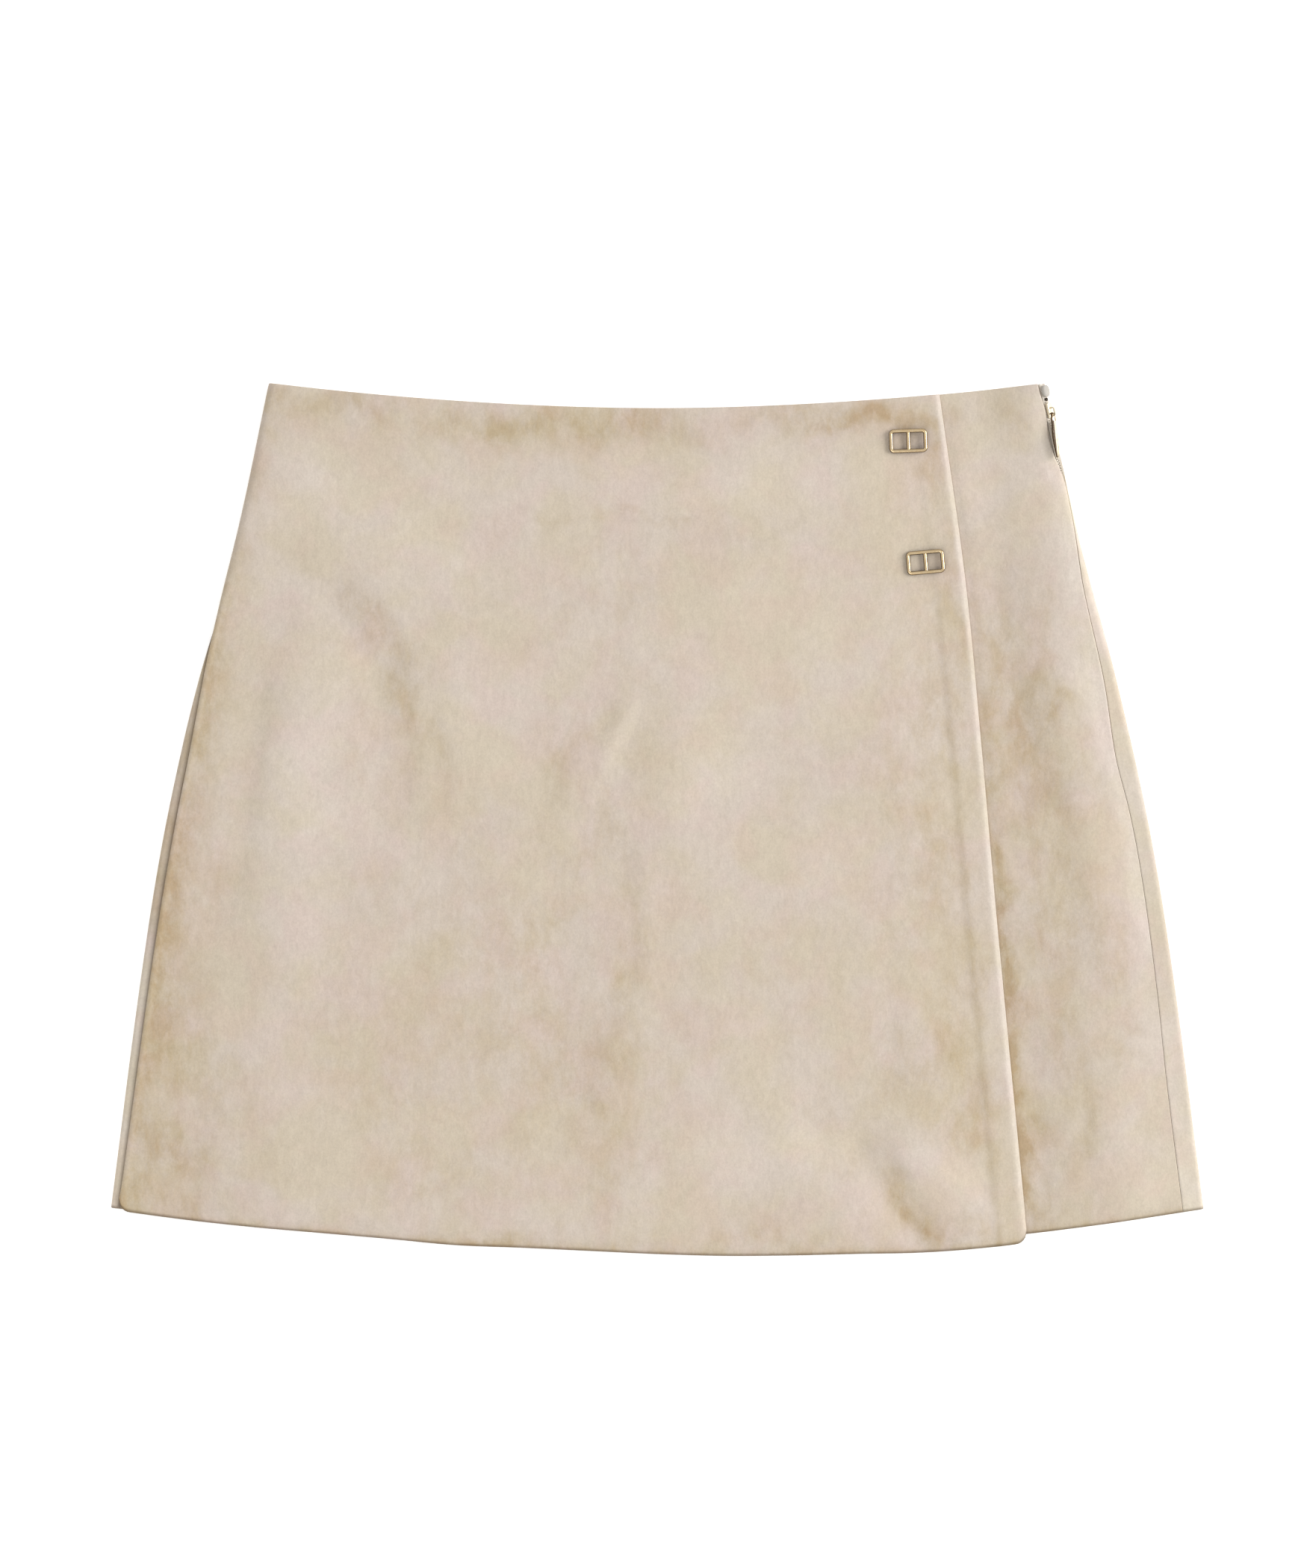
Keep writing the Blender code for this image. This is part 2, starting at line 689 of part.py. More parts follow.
def prism(name, outline, thick, material=None):
    """A plate in the XY plane with the given outline."""
    mesh = bpy.data.meshes.new(name)
    count = len(outline)
    points = [Vector((x, y, z)) * MM for z in (-thick / 2, thick / 2) for x, y in outline]
    faces = [tuple(reversed(range(count))), tuple(range(count, 2 * count))]
    faces += [(i, (i + 1) % count, (i + 1) % count + count, i + count) for i in range(count)]
    mesh.from_pydata(points, [], faces)
    shaped = bmesh.new()
    shaped.from_mesh(mesh)
    bmesh.ops.recalc_face_normals(shaped, faces=shaped.faces)
    shaped.to_mesh(mesh)
    shaped.free()
    made = bpy.data.objects.new(name, mesh)
    bpy.context.scene.collection.objects.link(made)
    if material:
        mesh.materials.append(material)
    return made


def helper(made):
    """Keeps a cutter or a joined shape out of the model itself."""
    made.hide_render = True
    made.display_type = "WIRE"
    return made


def combine(made, other, operation):
    step = made.modifiers.new(operation.title(), "BOOLEAN")
    step.operation = operation
    step.object = helper(other)


def zip_slider(name, frame, material):
    """The slider's body and the bridge over it that holds the pull."""
    height = SLIDER_BACK + SLIDER_SIZE[2] / 2 - HINGE_OUT
    body = block(name, SLIDER_SIZE, (0, SLIDER_MIDDLE, height), material, bevel=SLIDER_BEVEL)
    up, down = BRIDGE_ENDS
    half = BRIDGE_THICK / 2
    over = [
        (up - half, height),
        (up - half, BRIDGE_TOP - half),
        (up + half, BRIDGE_TOP + half),
        (down - half, BRIDGE_TOP + half),
        (down + half, BRIDGE_TOP - half),
        (down + half, height),
    ]
    under = [
        (down - half, height),
        (down - half, BRIDGE_TOP - half),
        (up + half, BRIDGE_TOP - half),
        (up + half, height),
    ]
    bridge = prism(name + "_bridge", over + under, BRIDGE_WIDE)
    quarter = math.radians(90)
    upright = Matrix.Rotation(quarter, 4, "Z") @ Matrix.Rotation(quarter, 4, "X")
    bridge.data.transform(upright)
    combine(body, bridge, "UNION")
    for made in (body, bridge):
        made.matrix_world = frame
    return body


def zip_pull(name, frame, material):
    """The pull tab, with an eye and the pin that it turns on."""
    sides = [(half, y) for y, half in PULL_OUTLINE]
    outline = sides + [(-half, y) for half, y in reversed(sides[:-1])]
    plate = prism(name, outline, PULL_THICK, material)
    eye = block(name + "_eye", (PULL_EYE[0], 2 * PULL_EYE[1], CUTTER_DEEP), (0, 0, 0))
    lean = Matrix.Rotation(-PULL_LEAN, 4, "Z")
    plate.data.transform(lean)
    eye.data.transform(lean)
    pin = bpy.data.objects.new(name + "_pin", bpy.data.meshes.new(name + "_pin"))
    bpy.context.scene.collection.objects.link(pin)
    shaped = bmesh.new()
    bmesh.ops.create_cone(
        shaped,
        cap_ends=True,
        segments=PIN_SIDES,
        radius1=PIN_RADIUS * MM,
        radius2=PIN_RADIUS * MM,
        depth=2 * PULL_OUTLINE[0][1] * MM,
        matrix=Matrix.Rotation(math.radians(90), 4, "Y"),
    )
    shaped.to_mesh(pin.data)
    shaped.free()
    combine(plate, eye, "DIFFERENCE")
    combine(plate, pin, "UNION")
    for made in (plate, eye, pin):
        made.matrix_world = frame
    return plate


def wrap_top(x, y):
    """Height of the wrap's face at a point."""
    level = level_at(x, y)
    place = x + fold(-1, level)[0]
    lift = turned_edge(wrap_right(level) - place, level)
    return wrap_point(place, level).z + CLOTH / 2 + lift


def slide(name, x, y, turn, material):
    """A metal frame with a bar across its middle, lying on the wrap."""
    wide, high, thick = SLIDE_SIZE
    window = (wide - 3 * SLIDE_BAR) / 2
    plate = block(name, SLIDE_SIZE, (0, 0, thick / 2), material, bevel=SLIDE_BEVEL)
    cutters = []
    for sign, word in ((-1, "left"), (1, "right")):
        size = (window, high - 2 * SLIDE_BAR, CUTTER_DEEP)
        middle = (sign * (window + SLIDE_BAR) / 2, 0, thick / 2)
        cutters.append(block(f"{name}_{word}", size, middle))
        combine(plate, cutters[-1], "DIFFERENCE")
    turned = Matrix.Rotation(math.radians(turn), 4, "Z")
    under = [
        turned @ Vector((across * wide / 2, up * high / 2, 0.0))
        for across in (-1, -0.5, 0, 0.5, 1)
        for up in (-1, 0, 1)
    ]
    seat = max(wrap_top(x + spot.x, y + spot.y) for spot in under) + GAP
    for made in [plate] + cutters:
        made.matrix_world = Matrix.Translation(Vector((x, y, seat)) * MM) @ turned


def level_at(x, y):
    """The level of the wrap at a point of it."""
    low, high = 0.0, 1.0
    for _ in range(HALVINGS):
        level = (low + high) / 2
        if wrap_y(x, level) > y:
            low = level
        else:
            high = level
    return level


# ---- Materials and assembly -------------------------------------------------------------------
def material(name, colour, roughness, metallic=0.0):
    made = bpy.data.materials.new(name)
    made.use_nodes = True
    shader = made.node_tree.nodes["Principled BSDF"]
    shader.inputs["Base Color"].default_value = (*colour, 1.0)
    shader.inputs["Roughness"].default_value = roughness
    shader.inputs["Metallic"].default_value = metallic
    made.diffuse_color = (*colour, 1.0)
    return made


def main():
    for old in list(bpy.data.objects):
        bpy.data.objects.remove(old, do_unlink=True)
    suede = material("suede", (0.65, 0.55, 0.45), 0.9)
    tape = material("zip_tape", (0.62, 0.56, 0.47), 0.8)
    gold = material("gold_metal", (0.83, 0.62, 0.30), 0.25, 1.0)
    for side, word in ((-1, "left"), (1, "right")):
        back_leg("back_" + word, side, suede)
        front_leg("front_" + word, side, suede)
    wrap_panel("wrap_front", suede)
    zip_tape("zip_tape", tape)
    frame = zip_frame()
    zip_slider("zip_slider", frame, gold)
    zip_pull("zip_pull", frame, gold)
    for name, x, y, turn in SLIDES:
        slide(name, x, y, turn, gold)


main()
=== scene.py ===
"""The looks of the suede-cloth wrap skort: its cloth, zip, metal, floor, light and camera.

Sizes are in millimetres and become metres when a mesh is made, as in the part's source. X runs
across the skort, Y up it from hem to waist, and Z up from the surface that it lies on. A level
is 0 at the waist and 1 at the hem; a place is a distance along the cloth from the top of a side
fold. Grids of points are numpy arrays of rows (levels) by columns (places).
"""

import math

import bmesh
import bpy
import numpy as np
from mathutils import Matrix, Vector


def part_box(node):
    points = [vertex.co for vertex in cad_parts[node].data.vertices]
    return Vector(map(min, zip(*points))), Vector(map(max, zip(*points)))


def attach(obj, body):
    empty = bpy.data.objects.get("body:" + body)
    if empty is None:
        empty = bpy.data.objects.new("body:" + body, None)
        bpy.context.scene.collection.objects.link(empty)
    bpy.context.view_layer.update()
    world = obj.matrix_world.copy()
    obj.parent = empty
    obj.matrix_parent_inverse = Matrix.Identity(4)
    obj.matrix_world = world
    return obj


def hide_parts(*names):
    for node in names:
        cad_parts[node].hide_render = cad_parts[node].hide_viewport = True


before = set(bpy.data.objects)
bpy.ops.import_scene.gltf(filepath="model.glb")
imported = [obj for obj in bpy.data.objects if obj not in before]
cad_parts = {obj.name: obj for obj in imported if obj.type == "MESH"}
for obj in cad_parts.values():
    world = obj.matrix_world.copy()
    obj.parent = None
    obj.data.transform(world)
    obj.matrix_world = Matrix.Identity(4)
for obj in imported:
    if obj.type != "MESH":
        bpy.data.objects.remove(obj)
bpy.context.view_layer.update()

MM = 0.001

# ---- Sizes of the skort, as the solids have them ----
CLOTH = 1.2
GAP = 0.3
SIDE_LENGTH = 368.0
WAIST_CORNER = 194.5
WAIST_DIP = 11.2
WAIST_BEND = 1.85
RISE = 0.70
LEG_GAP = 14.0
FLAT_TOP = 1.5 * CLOTH + GAP
FOLD_RUN = 30.0
COVER_END = 4.0
EDGE_TURN = 0.978
TURNED_EDGE = 13.0
TURNED_STEP = 0.7
TURNED_RUN = 4.0
TURNED_AT_WAIST = 0.25
TURNED_FULL_AT = 0.4
EDGE_ROUND = 3.0
EDGE_DROP = 0.55
CORNER = 4.5
CORNER_FADE = 3.0 * CORNER  # height above the hem where a corner's lift ends

# Half width of the skort, by the distance below the waist corner.
SIDE_LINE = (
    # drop, half_width
    (0, 173.3),
    (66, 187.3),
    (133, 205),
    (200, 219.8),
    (266, 230.4),
    (368, 243.6),
)

# The wrap's hem, and the hem of the shorts, by the distance from the centre line.
WRAP_HEM = (
    # x, y
    (-244, -172.9),
    (-210, -177.5),
    (-180, -180.7),
    (-150, -183.3),
    (-120, -185.9),
    (-90, -188.7),
    (-60, -189.9),
    (-30, -191.3),
    (0, -192.7),
    (30, -193.5),
    (60, -193.3),
    (90, -192.6),
    (120, -192),
    (150, -189.6),
    (170, -187),
    (244, -176),
)
SHORTS_HEM = (
    # x, y
    (-244, -172.3),
    (-210, -175.8),
    (-150, -181.6),
    (-90, -186.4),
    (-30, -188.4),
    (30, -189.4),
    (90, -188.6),
    (130, -187),
    (165, -184),
    (200, -179.5),
    (220, -176.5),
    (244, -172.8),
)

# How far each side's edges lie inside the outline, and the radius of each side fold.
SIDE_SEAMS = (
    # drop, wrap_edge, left_seam, right_seam, left_radius, right_radius
    (0, 0, 0, 0.5, 1.1, 2.6),
    (60, 0, 0, 0.7, 1.1, 2.4),
    (92, 0.5, 1.5, 3.9, 1.1, 2.2),
    (134, 2.9, 6.5, 5.8, 1.1, 1.8),
    (165, 4.3, 9, 8.3, 1.1, 1.6),
    (190, 4.7, 9, 7.4, 1.1, 1.5),
    (215, 4.8, 9, 7.3, 1.1, 1.4),
    (269, 4.7, 9, 8.2, 1.1, 1.3),
    (310, 4.5, 9, 9.3, 1.1, 1.3),
    (368, 3.9, 9, 9.3, 1.1, 1.3),
)

# The wrap's free edge on the front: (level, x).
OVERLAP = ((0, 125.1), (0.22, 136.6), (0.41, 143.6), (0.63, 151), (1, 164.4))

WRAP_LOFT = 2.8
WRAP_RISE = 66.0  # from its left side
FREE_RISE = 46.0  # from its free edge
LEG_LOFT = 2.3
LEG_RISE = 46.0  # from the wrap's free edge
LEG_FALL = 27.0  # down to the right side
LEG_STEP = 0.5  # the leg swells by this beside the wrap's edge
STEP_RUN = 5.0
SIDE_FLAT = 5.0  # flat beside the outline
FOLDS_FADE = 12.0  # width over which folds fade at a side or a free edge
WAIST_RISE = 26.0
HEM_RISE = 14.0
HEM_SHARE = 0.45
SETTLE = 0.5  # within this height of what is under it, cloth settles softly
SHORTS_SHARE = 0.5  # share of the wrap's relief that the shorts under it take up
WRAP_FOLDS = (
    # x1, y1, x2, y2, half_width, height
    (-143, 98, -125, 66, 10, -1.1),
    (-124, 62, -122, 6, 11, -1.3),
    (-160, 56, -168, -62, 16, 1),
    (-180, 60, -193, -40, 8, -0.35),
    (-16, 50, -38, 10, 7.5, 0.9),
    (5, 52, 7, -10, 18, 1),
    (-7, -20, -6, -78, 8, 0.7),
    (-46, -52, -42, -132, 15, -0.9),
    (90, -148, 120, -192, 7, -1.9),
    (54, -140, 84, -172, 13, 1.2),
    (113, -142, 142, -178, 9, 1.3),
    (-30, 172, -110, 175, 6, -0.7),
)
LEG_FOLDS = (
    # x1, y1, x2, y2, half_width, height
    (150, 112, 163, 10, 8, -0.75),
    (184, 60, 204, -60, 11, 0.7),
    (164, -96, 170, -166, 7, -0.8),
)
ZIP_LENGTH = 172.0
ZIP_OPEN_TO = 24.0
ZIP_SHUT_FROM = 48.0
FRONT_LIP = -0.9
LIP_PUSHED = 1.0
PUSHED_DROP = 12.5
PUSHED_RUN = 8.0
BACK_LIP_TURN = math.radians(120.0)
TAPE_THICK = 0.8
TAPE_REACH_TOP = 2.6
TAPE_REACH = 1.3
HINGE_DROP = 13.5
HINGE_TILT = math.radians(33.0)
HINGE_OUT = 4.05
PULL_LEAN = math.radians(12.0)
EYE_LENGTH = 3.4
PULL_OUTLINE = (
    # along, half_width
    (0, 2.2),
    (3.4, 2.2),
    (5.4, 2.1),
    (8, 2.4),
    (11.5, 2.5),
    (15, 2.05),
    (18, 1.35),
    (19.8, 0.75),
    (20.5, 0),
)
SLIDES = (
    # name, turn in degrees
    ("slide_upper", 2),
    ("slide_lower", 5),
)
SLIDE_SIZE = (17.0, 10.6, 1.6)
SLIDE_BAR = 1.7

# ---- Finer form, on top of the solids' ----
ROW_STEP = 2.5  # between rows of the cloth's faces
WIDE_STEP = 2.5  # between the wrap's columns
SHOWN_STEP = 2.0  # between the right front leg's, where it shows
HIDDEN_STEP = 6.0  # and where cloth is hidden
UNDER_WRAP = 6.0  # its hidden columns end this far under the wrap
STRIP_STEP = 0.8  # between the back legs' columns on the front
STRIP_LEAST = 0.5  # least width of what shows of them there
ARC_STEP = 0.45  # between their columns round the side folds
EDGE_STEPS = (0.0, 0.5, 1.1, 1.8, 2.6, 3.6, 4.8, 6.2, 8.0)  # closer, along an edge that shows
FACING_ZONE = 21.0  # beside the free edge, where columns are closer
FACING_STEP = 0.8
TAPE_ROWS = 120
TAPE_STEP = 0.4

# How far edges swell, and how many faces go round them.
NOSE_ROUNDS = 6
SEAM_NOSE = 0.12
TURNED_NOSE = 0.75  # where the cloth is turned in
WRAP_NOSES = (0.5, TURNED_NOSE, 0.6, 0.5)  # waist, free edge, hem, left edge
LEG_WAIST_NOSE = 0.4
LEG_HEM_NOSE = 0.5
TAPE_NOSES = (0.3, 0.0, 0.3, 0.0)

GROOVE_DEEP = 0.16  # the line pressed along the cloth that is turned in at the free edge
GROOVE_WIDE = 1.5
GROOVE_IN = 1.0  # its distance from where that cloth ends
GROOVE_FROM = 0.12  # levels where it starts and where it is whole
GROOVE_WHOLE = 0.5
WELT_HIGH = 0.28  # the thin ridge along the wrap's left edge
WELT_WIDE = 0.9
LIP_HIGH = 0.35  # the swollen lip of the leg's side seam over the zip
LIP_WIDE = 2.4
LIP_FROM = 84.0  # drops between which it shows
LIP_TO = 168.0
LIP_RISE = 14.0  # lengths over which it comes and goes
LIP_FALL = 6.0
LIP_NOSE = 0.33  # how far it swells the edge, until LIP_TO
LIP_NOSE_RUN = 8.0

SLIDE_CORNER = 1.3  # radius of the slides' corners, along the middle of their bars
SHOULDER_IN = 0.2  # half width of a bar's flat top, as a share of the bar's
SHOULDER_UP = 0.4  # height where its shoulders begin to round, as a share of the bar's
SHOULDER_ROUNDS = 6
CORNER_ROUNDS = 8
BAR_SHARE = 0.8  # height of the bar across the middle, as a share of the others'
BAR_SHORT = 0.2  # its ends stop this share of a bar's width before the middle of the others
# Painted shade and painted dark reflections on the slides' flanks:
PAINTED_DARK_BELOW = 0.96  # share of a bar's height below which it darkens
PAINTED_DARK_RUN = 0.22  # share of it over which it does
PULL_STATIONS = 34
PULL_LEAST = 0.04  # half width at the tab's tip
PULL_RIM = 0.5  # width of its raised rim, and the largest share of the half width that it takes
PULL_RIM_SHARE = 0.4
PULL_SECTION = (
    # share of the half width, less millimetres, less rims, height
    (1.0, 0.0, 0.0, 0.0),
    (1.0, 0.08, 0.0, 0.26),
    (1.0, 0.26, 0.0, 0.4),
    (1.0, 0.0, 1.0, 0.34),
    (1.0, 0.0, 1.3, 0.16),
    (0.2, 0.0, 0.0, 0.175),
    (0.0, 0.0, 0.0, 0.18),
)
# Painted shade and painted dark reflection on one side of the pull:
PULL_PAINTED_DARK_RUN = 0.4  # the tab darkens from its middle to this far right of it
WIRE = 0.4  # radius of the pull's eye
EYE_ROOT = 0.6  # how far its wire runs into the tab
EYE_STEPS = 6
EYE_SMOOTHED = 2  # times
AXIS_REACH = 4.0  # the zip's direction is taken over this distance up and down
PAD_ROUND = 0.75  # 1 makes a pad an ellipsoid, and less makes it squarer
TAPE_END_PAD = (3.2, (2.6, 2.7, 1.2), 2.7)  # drop, (half across, along, thick), distance out
# A near-black pad: painted shade for the hole at the top of the zip.
STOP_SHADE_PAD = (6.9, (0.9, 0.75, 0.5), 2.3)
COIL_TURNS = 30
COIL_FROM = 8.2  # drop of the first turn
COIL_STEP = 1.15
COIL_SPREAD = 2.2  # half the distance between its rows at the waist
COIL_HALF = 0.8
COIL_OUT = 1.95  # from the middle of the fold
COIL_RADIUS = 0.28
COIL_ROUND = 8
COIL_ROD = ((0.0, 0.45), (0.15, 0.9), (0.5, 1.0), (0.85, 0.9), (1.0, 0.45))  # share, size
SLIDER_TOP = 9.0

# Soft creases that are too slight for the solids.
WRAP_CREASES = (
    # x1, y1, x2, y2, half_width, height
    (-126, 96, -112, 60, 4.5, -0.35),
    (-111, 58, -113, 12, 3.5, -0.35),
    (-103, 60, -96, 16, 4.5, -0.3),
    (-22, 48, -36, 8, 3.5, -0.45),
    (-12, 50, -32, 8, 3, 0.4),
    (-176, 58, -186, -30, 5, -0.4),
    (-13, -18, -10, -72, 5, -0.35),
    (-24, -84, -34, -124, 8, -0.4),
    (102, -152, 130, -190, 3.5, -0.55),
    (102, -30, 104, -122, 5, -0.25),
    (-70, 136, 62, 135, 3.5, -0.25),
    (-80, 174, 6, 174, 4.5, -0.35),
    (72, 176, 122, 179, 4, -0.3),
)
LEG_CREASES = (
    # x1, y1, x2, y2, half_width, height
    (162, 60, 172, 12, 4, -0.35),
    (150, -40, 158, -140, 4, -0.35),
    (190, -112, 192, -162, 3.5, -0.3),
    (176, 20, 186, -60, 5, -0.25),
)

# Where those creases begin and over what length they grow, by the distance from an edge.
WRAP_CREASE_FADES = ((3.0, 14.0), (0.0, 18.0), (0.0, 10.0))  # from the side, free edge, waist
LEG_CREASE_FADES = ((1.0, 8.0), (4.0, 14.0))  # from the wrap's edge and the side

# Marks that darken (above 0) or lighten (below 0) the cloth: partly where the nap lies the other way,
# and partly painted shade where folds and sides turn from the light and painted light where they face
# it.
WRAP_NAP_AND_LIGHT = (
    # x, y, half_length, half_width, degrees, strength
    (-40, 175, 50, 7, 0, 0.75),
    (-88, 174, 28, 7, 0, 0.4),
    (-148, 187, 30, 6, -3, 0.5),
    (-10, 181, 20, 6, 0, 0.35),
    (70, 179, 34, 6, 2, 0.5),
    (96, 179, 28, 5, 3, 1),
    (-134, 183, 8, 6, 0, 0.4),
    (-64, 180, 14, 5, 0, 0.25),
    (124, 163, 18, 4.5, -80, 0.85),
    (-8, 135.5, 70, 1.8, 0, 0.3),
    (-68, 126, 14, 14, 0, 0.25),
    (-10, 98, 26, 10, 4, 0.34),
    (20, 130, 36, 5, 0, 0.16),
    (-131, 90, 24, 8, -54, 0.75),
    (-111, 57, 24, 8, -76, 0.72),
    (-112, 22, 16, 6, -95, 0.2),
    (-133, 48, 28, 9, 85, 0.25),
    (-98, 30, 22, 7, -68, 0.4),
    (-40, 30, 20, 8, 62, 0.45),
    (-38, 50, 12, 8, 0, 0.25),
    (-26, -4, 34, 9, 88, 0.45),
    (-184, 90, 30, 10, 74, -0.25),
    (-213, -96, 50, 10, 79, 0.45),
    (-213, -148, 15, 9, 10, 0.75),
    (-198, -112, 14, 9, 70, 0.3),
    (-12, -62, 30, 6, 86, 0.45),
    (-32, -116, 30, 18, 80, 0.35),
    (-64, -84, 48, 24, 88, 0.32),
    (-118, -132, 26, 20, 80, 0.18),
    (112, -118, 16, 7, 10, 0.4),
    (114, -172, 19, 6, -52, 1),
    (118, -178, 12, 6, -48, 0.7),
    (141, -183, 13, 6, 8, 0.7),
    (52, -186, 24, 4.5, 2, 0.65),
    (-66, -187, 17, 4.5, 0, 0.55),
    (-14, -190, 22, 4, 0, 0.4),
    (-104, -161, 14, 10, 0, 0.3),
    (70, -134, 14, 8, 0, 0.3),
    (84, -151, 9, 7, 90, 0.36),
    (113, -152, 13, 6, -70, -0.45),
    (-54, -50, 17, 8, -70, 0.36),
    (-82, -12, 14, 10, 0, 0.22),
    (-43, 82, 18, 8, 55, 0.22),
    (-12, 120, 18, 7, 0, 0.2),
    (-12, 176, 12, 8, -60, 0.35),
    (8, 170, 14, 5, 0, 0.25),
    (-100, 122, 22, 14, 0, -0.22),
    (-152, 140, 16, 12, 0, -0.15),
    (20, 142, 14, 6, 0, -0.22),
    (34, 96, 22, 14, 0, -0.14),
    (68, -20, 14, 26, 0, -0.16),
    (130, 118, 24, 4, -76, 0.3),
    (134, 14, 22, 4, -84, -0.3),
    (122, -16, 30, 8, -86, 0.22),
    (-215, -169, 16, 6, -6, 0.55),
    (-198, -72, 28, 14, 80, -0.3),
    (-220, -130, 9, 9, 0, -0.45),
    (-188, -158, 14, 8, 80, -0.24),
    (-144, -150, 24, 12, 85, -0.22),
    (-72, -129, 14, 8, 85, -0.32),
    (-33, -136, 10, 6, 90, -0.32),
    (-72, 24, 14, 10, 0, -0.22),
    (-150, 155, 16, 11, 0, -0.24),
    (-18, 155, 12, 18, 0, -0.24),
    (120, -66, 18, 9, 0, -0.28),
    (130, -104, 14, 14, 0, 0.2),
    (82, -20, 10, 13, 0, -0.22),
    (77, 82, 8, 12, 0, -0.2),
    (103, -103, 15, 7, 90, 0.36),
    (98, -44, 14, 7, 90, 0.28),
    (117, 41, 13, 8, 0, 0.26),
    (137, 60, 38, 6, -82, 0.36),
    (128, -140, 18, 11, 0, 0.26),
    (-20, -144, 32, 9, 88, 0.36),
    (66, 186, 10, 3.5, 2, 0.5),
    (-18, 185, 12, 4, 0, 0.4),
    (-169, 147, 13, 9, 80, 0.25),
    (137, -70, 12, 5, 90, 0.28),
    (-75, -42, 44, 30, 0, 0.14),
    (-53, -28, 16, 9, -20, -0.32),
    (-130, 135, 64, 30, 0, -0.12),
    (-196, -20, 22, 8, 85, 0.26),
    (124, 62, 42, 9, -82, 0.45),
    (130, -10, 60, 11, -82, 0.34),
    (108, 10, 70, 13, -84, 0.24),
    (130, -92, 46, 11, -82, 0.36),
    (146, -140, 32, 6, -78, 0.5),
    (136, 84, 40, 4, -78, 0.35),
    (142, -66, 20, 4, -84, 0.3),
    (-80, -112, 90, 56, 0, 0.13),
    (-206, -118, 60, 28, 80, 0.24),
    (118, -96, 40, 16, -85, 0.14),
    (-100, 66, 90, 64, 0, -0.13),
    (60, 96, 60, 50, 0, -0.14),
    (-148, 148, 28, 22, 0, -0.38),
    (50, 150, 32, 16, 0, -0.26),
    (-152, 32, 36, 11, 82, -0.28),
    (-172, -16, 62, 14, 82, -0.42),
    (-150, -44, 36, 12, 84, -0.16),
    (20, 14, 26, 13, 78, -0.38),
    (-17, 36, 26, 4, 58, -0.42),
    (-1, -64, 40, 5, 88, -0.12),
    (50, -150, 38, 15, 5, -0.42),
    (126, -154, 18, 8, -44, -0.45),
)
LEG_NAP_AND_LIGHT = (
    # x, y, half_length, half_width, degrees, strength
    (158, 46, 56, 14, -80, 0.45),
    (166, 54, 40, 9, -80, 0.35),
    (176, 52, 14, 5, -80, 0.3),
    (172, 22, 24, 8, -80, 0.15),
    (203, 18, 18, 7, -75, 0.45),
    (151.5, -24, 60, 3.2, -84, 0.75),
    (181, -24, 60, 18, -77, 0.42),
    (186, -70, 34, 15, -80, 0.28),
    (149, 60, 50, 3.5, -82, 0.4),
    (156, -60, 80, 6, -82, 0.55),
    (153.5, -75, 15, 3.5, 86, 1.05),
    (157, -113, 16, 5, 86, 2.2),
    (166, -142, 11, 7, 88, 1.2),
    (160.5, -158, 13, 5, 90, 1.7),
    (169, -122, 7, 7, 0, -0.45),
    (190, -136, 26, 6, 88, 0.3),
    (210, -92, 26, 7, 86, 0.26),
    (222, -164, 18, 10, 60, -0.4),
    (172, -47, 14, 6, -80, 0.32),
    (176, 176, 22, 6, -80, -0.6),
    (186, 58, 9, 8, 0, -0.4),
    (184, -108, 14, 8, 90, 0.35),
    (174, -90, 9, 7, 0, 0.45),
    (194, -88, 9, 11, 0, -0.45),
    (156, -26, 20, 5, -84, -0.45),
    (207, -64, 18, 6, 84, 0.34),
    (174, 50, 12, 5, 66, 0.5),
    (163, 177, 11, 7, -60, 0.5),
    (132, 181, 9, 6, -40, 0.45),
    (180, 140, 24, 6, -78, -0.4),
    (173, 92, 20, 5, -86, 0.35),
    (191, 24, 20, 6, -80, 0.3),
    (152, 28, 8, 8, 0, 0.25),
    (192, -142, 24, 4, 88, 0.2),
    (171, -172, 11, 8, 0, 0.6),
    (142, 150, 34, 8, -82, -0.5),
    (186, 84, 60, 8, -74, -0.25),
    (216, -60, 90, 8, -80, -0.25),
    (206, -140, 26, 10, 85, -0.25),
)

# Painted shade beside the wrap's left edge, where it turns from the light: (level, strength).
LEFT_EDGE_SHADE = ((0, 0.5), (0.22, 0.55), (0.34, 1), (0.52, 1.1), (0.68, 1.2), (0.8, 0.8), (1, 1))
LEFT_EDGE_SHADE_RUN = 10.0

# Painted shade (above 0) and painted light (below 0) on the back legs, round the sides: (level,
# strength).
LEFT_STRIP_LIGHT_AND_SHADE = ((0, 0.6), (0.3, 0.9), (0.45, 0.7), (0.64, 0.5), (0.72, -0.4), (0.85, -0.55), (1, -0.6))
RIGHT_STRIP_LIGHT_AND_SHADE = ((0, -0.8), (0.28, -0.7), (0.42, -0.3), (0.7, -0.25), (0.88, -0.45), (1, -0.8))

# Painted shade along the hems and the pressed line, painted highlights on edges, and how wide they are.
HEM_PAINTED_SHADE = 0.7
HEM_PAINTED_SHADE_RUN = 2.2
# Painted shade in the line pressed beside the free edge.
GROOVE_SHADE = 0.25  # along the line pressed beside the free edge
GROOVE_SHADE_RUN = 1.8
# Painted highlight along the free edge, where it rounds towards the light.
EDGE_HIGHLIGHT = -1.4  # on the free edge
EDGE_HIGHLIGHT_RUN = 1.4
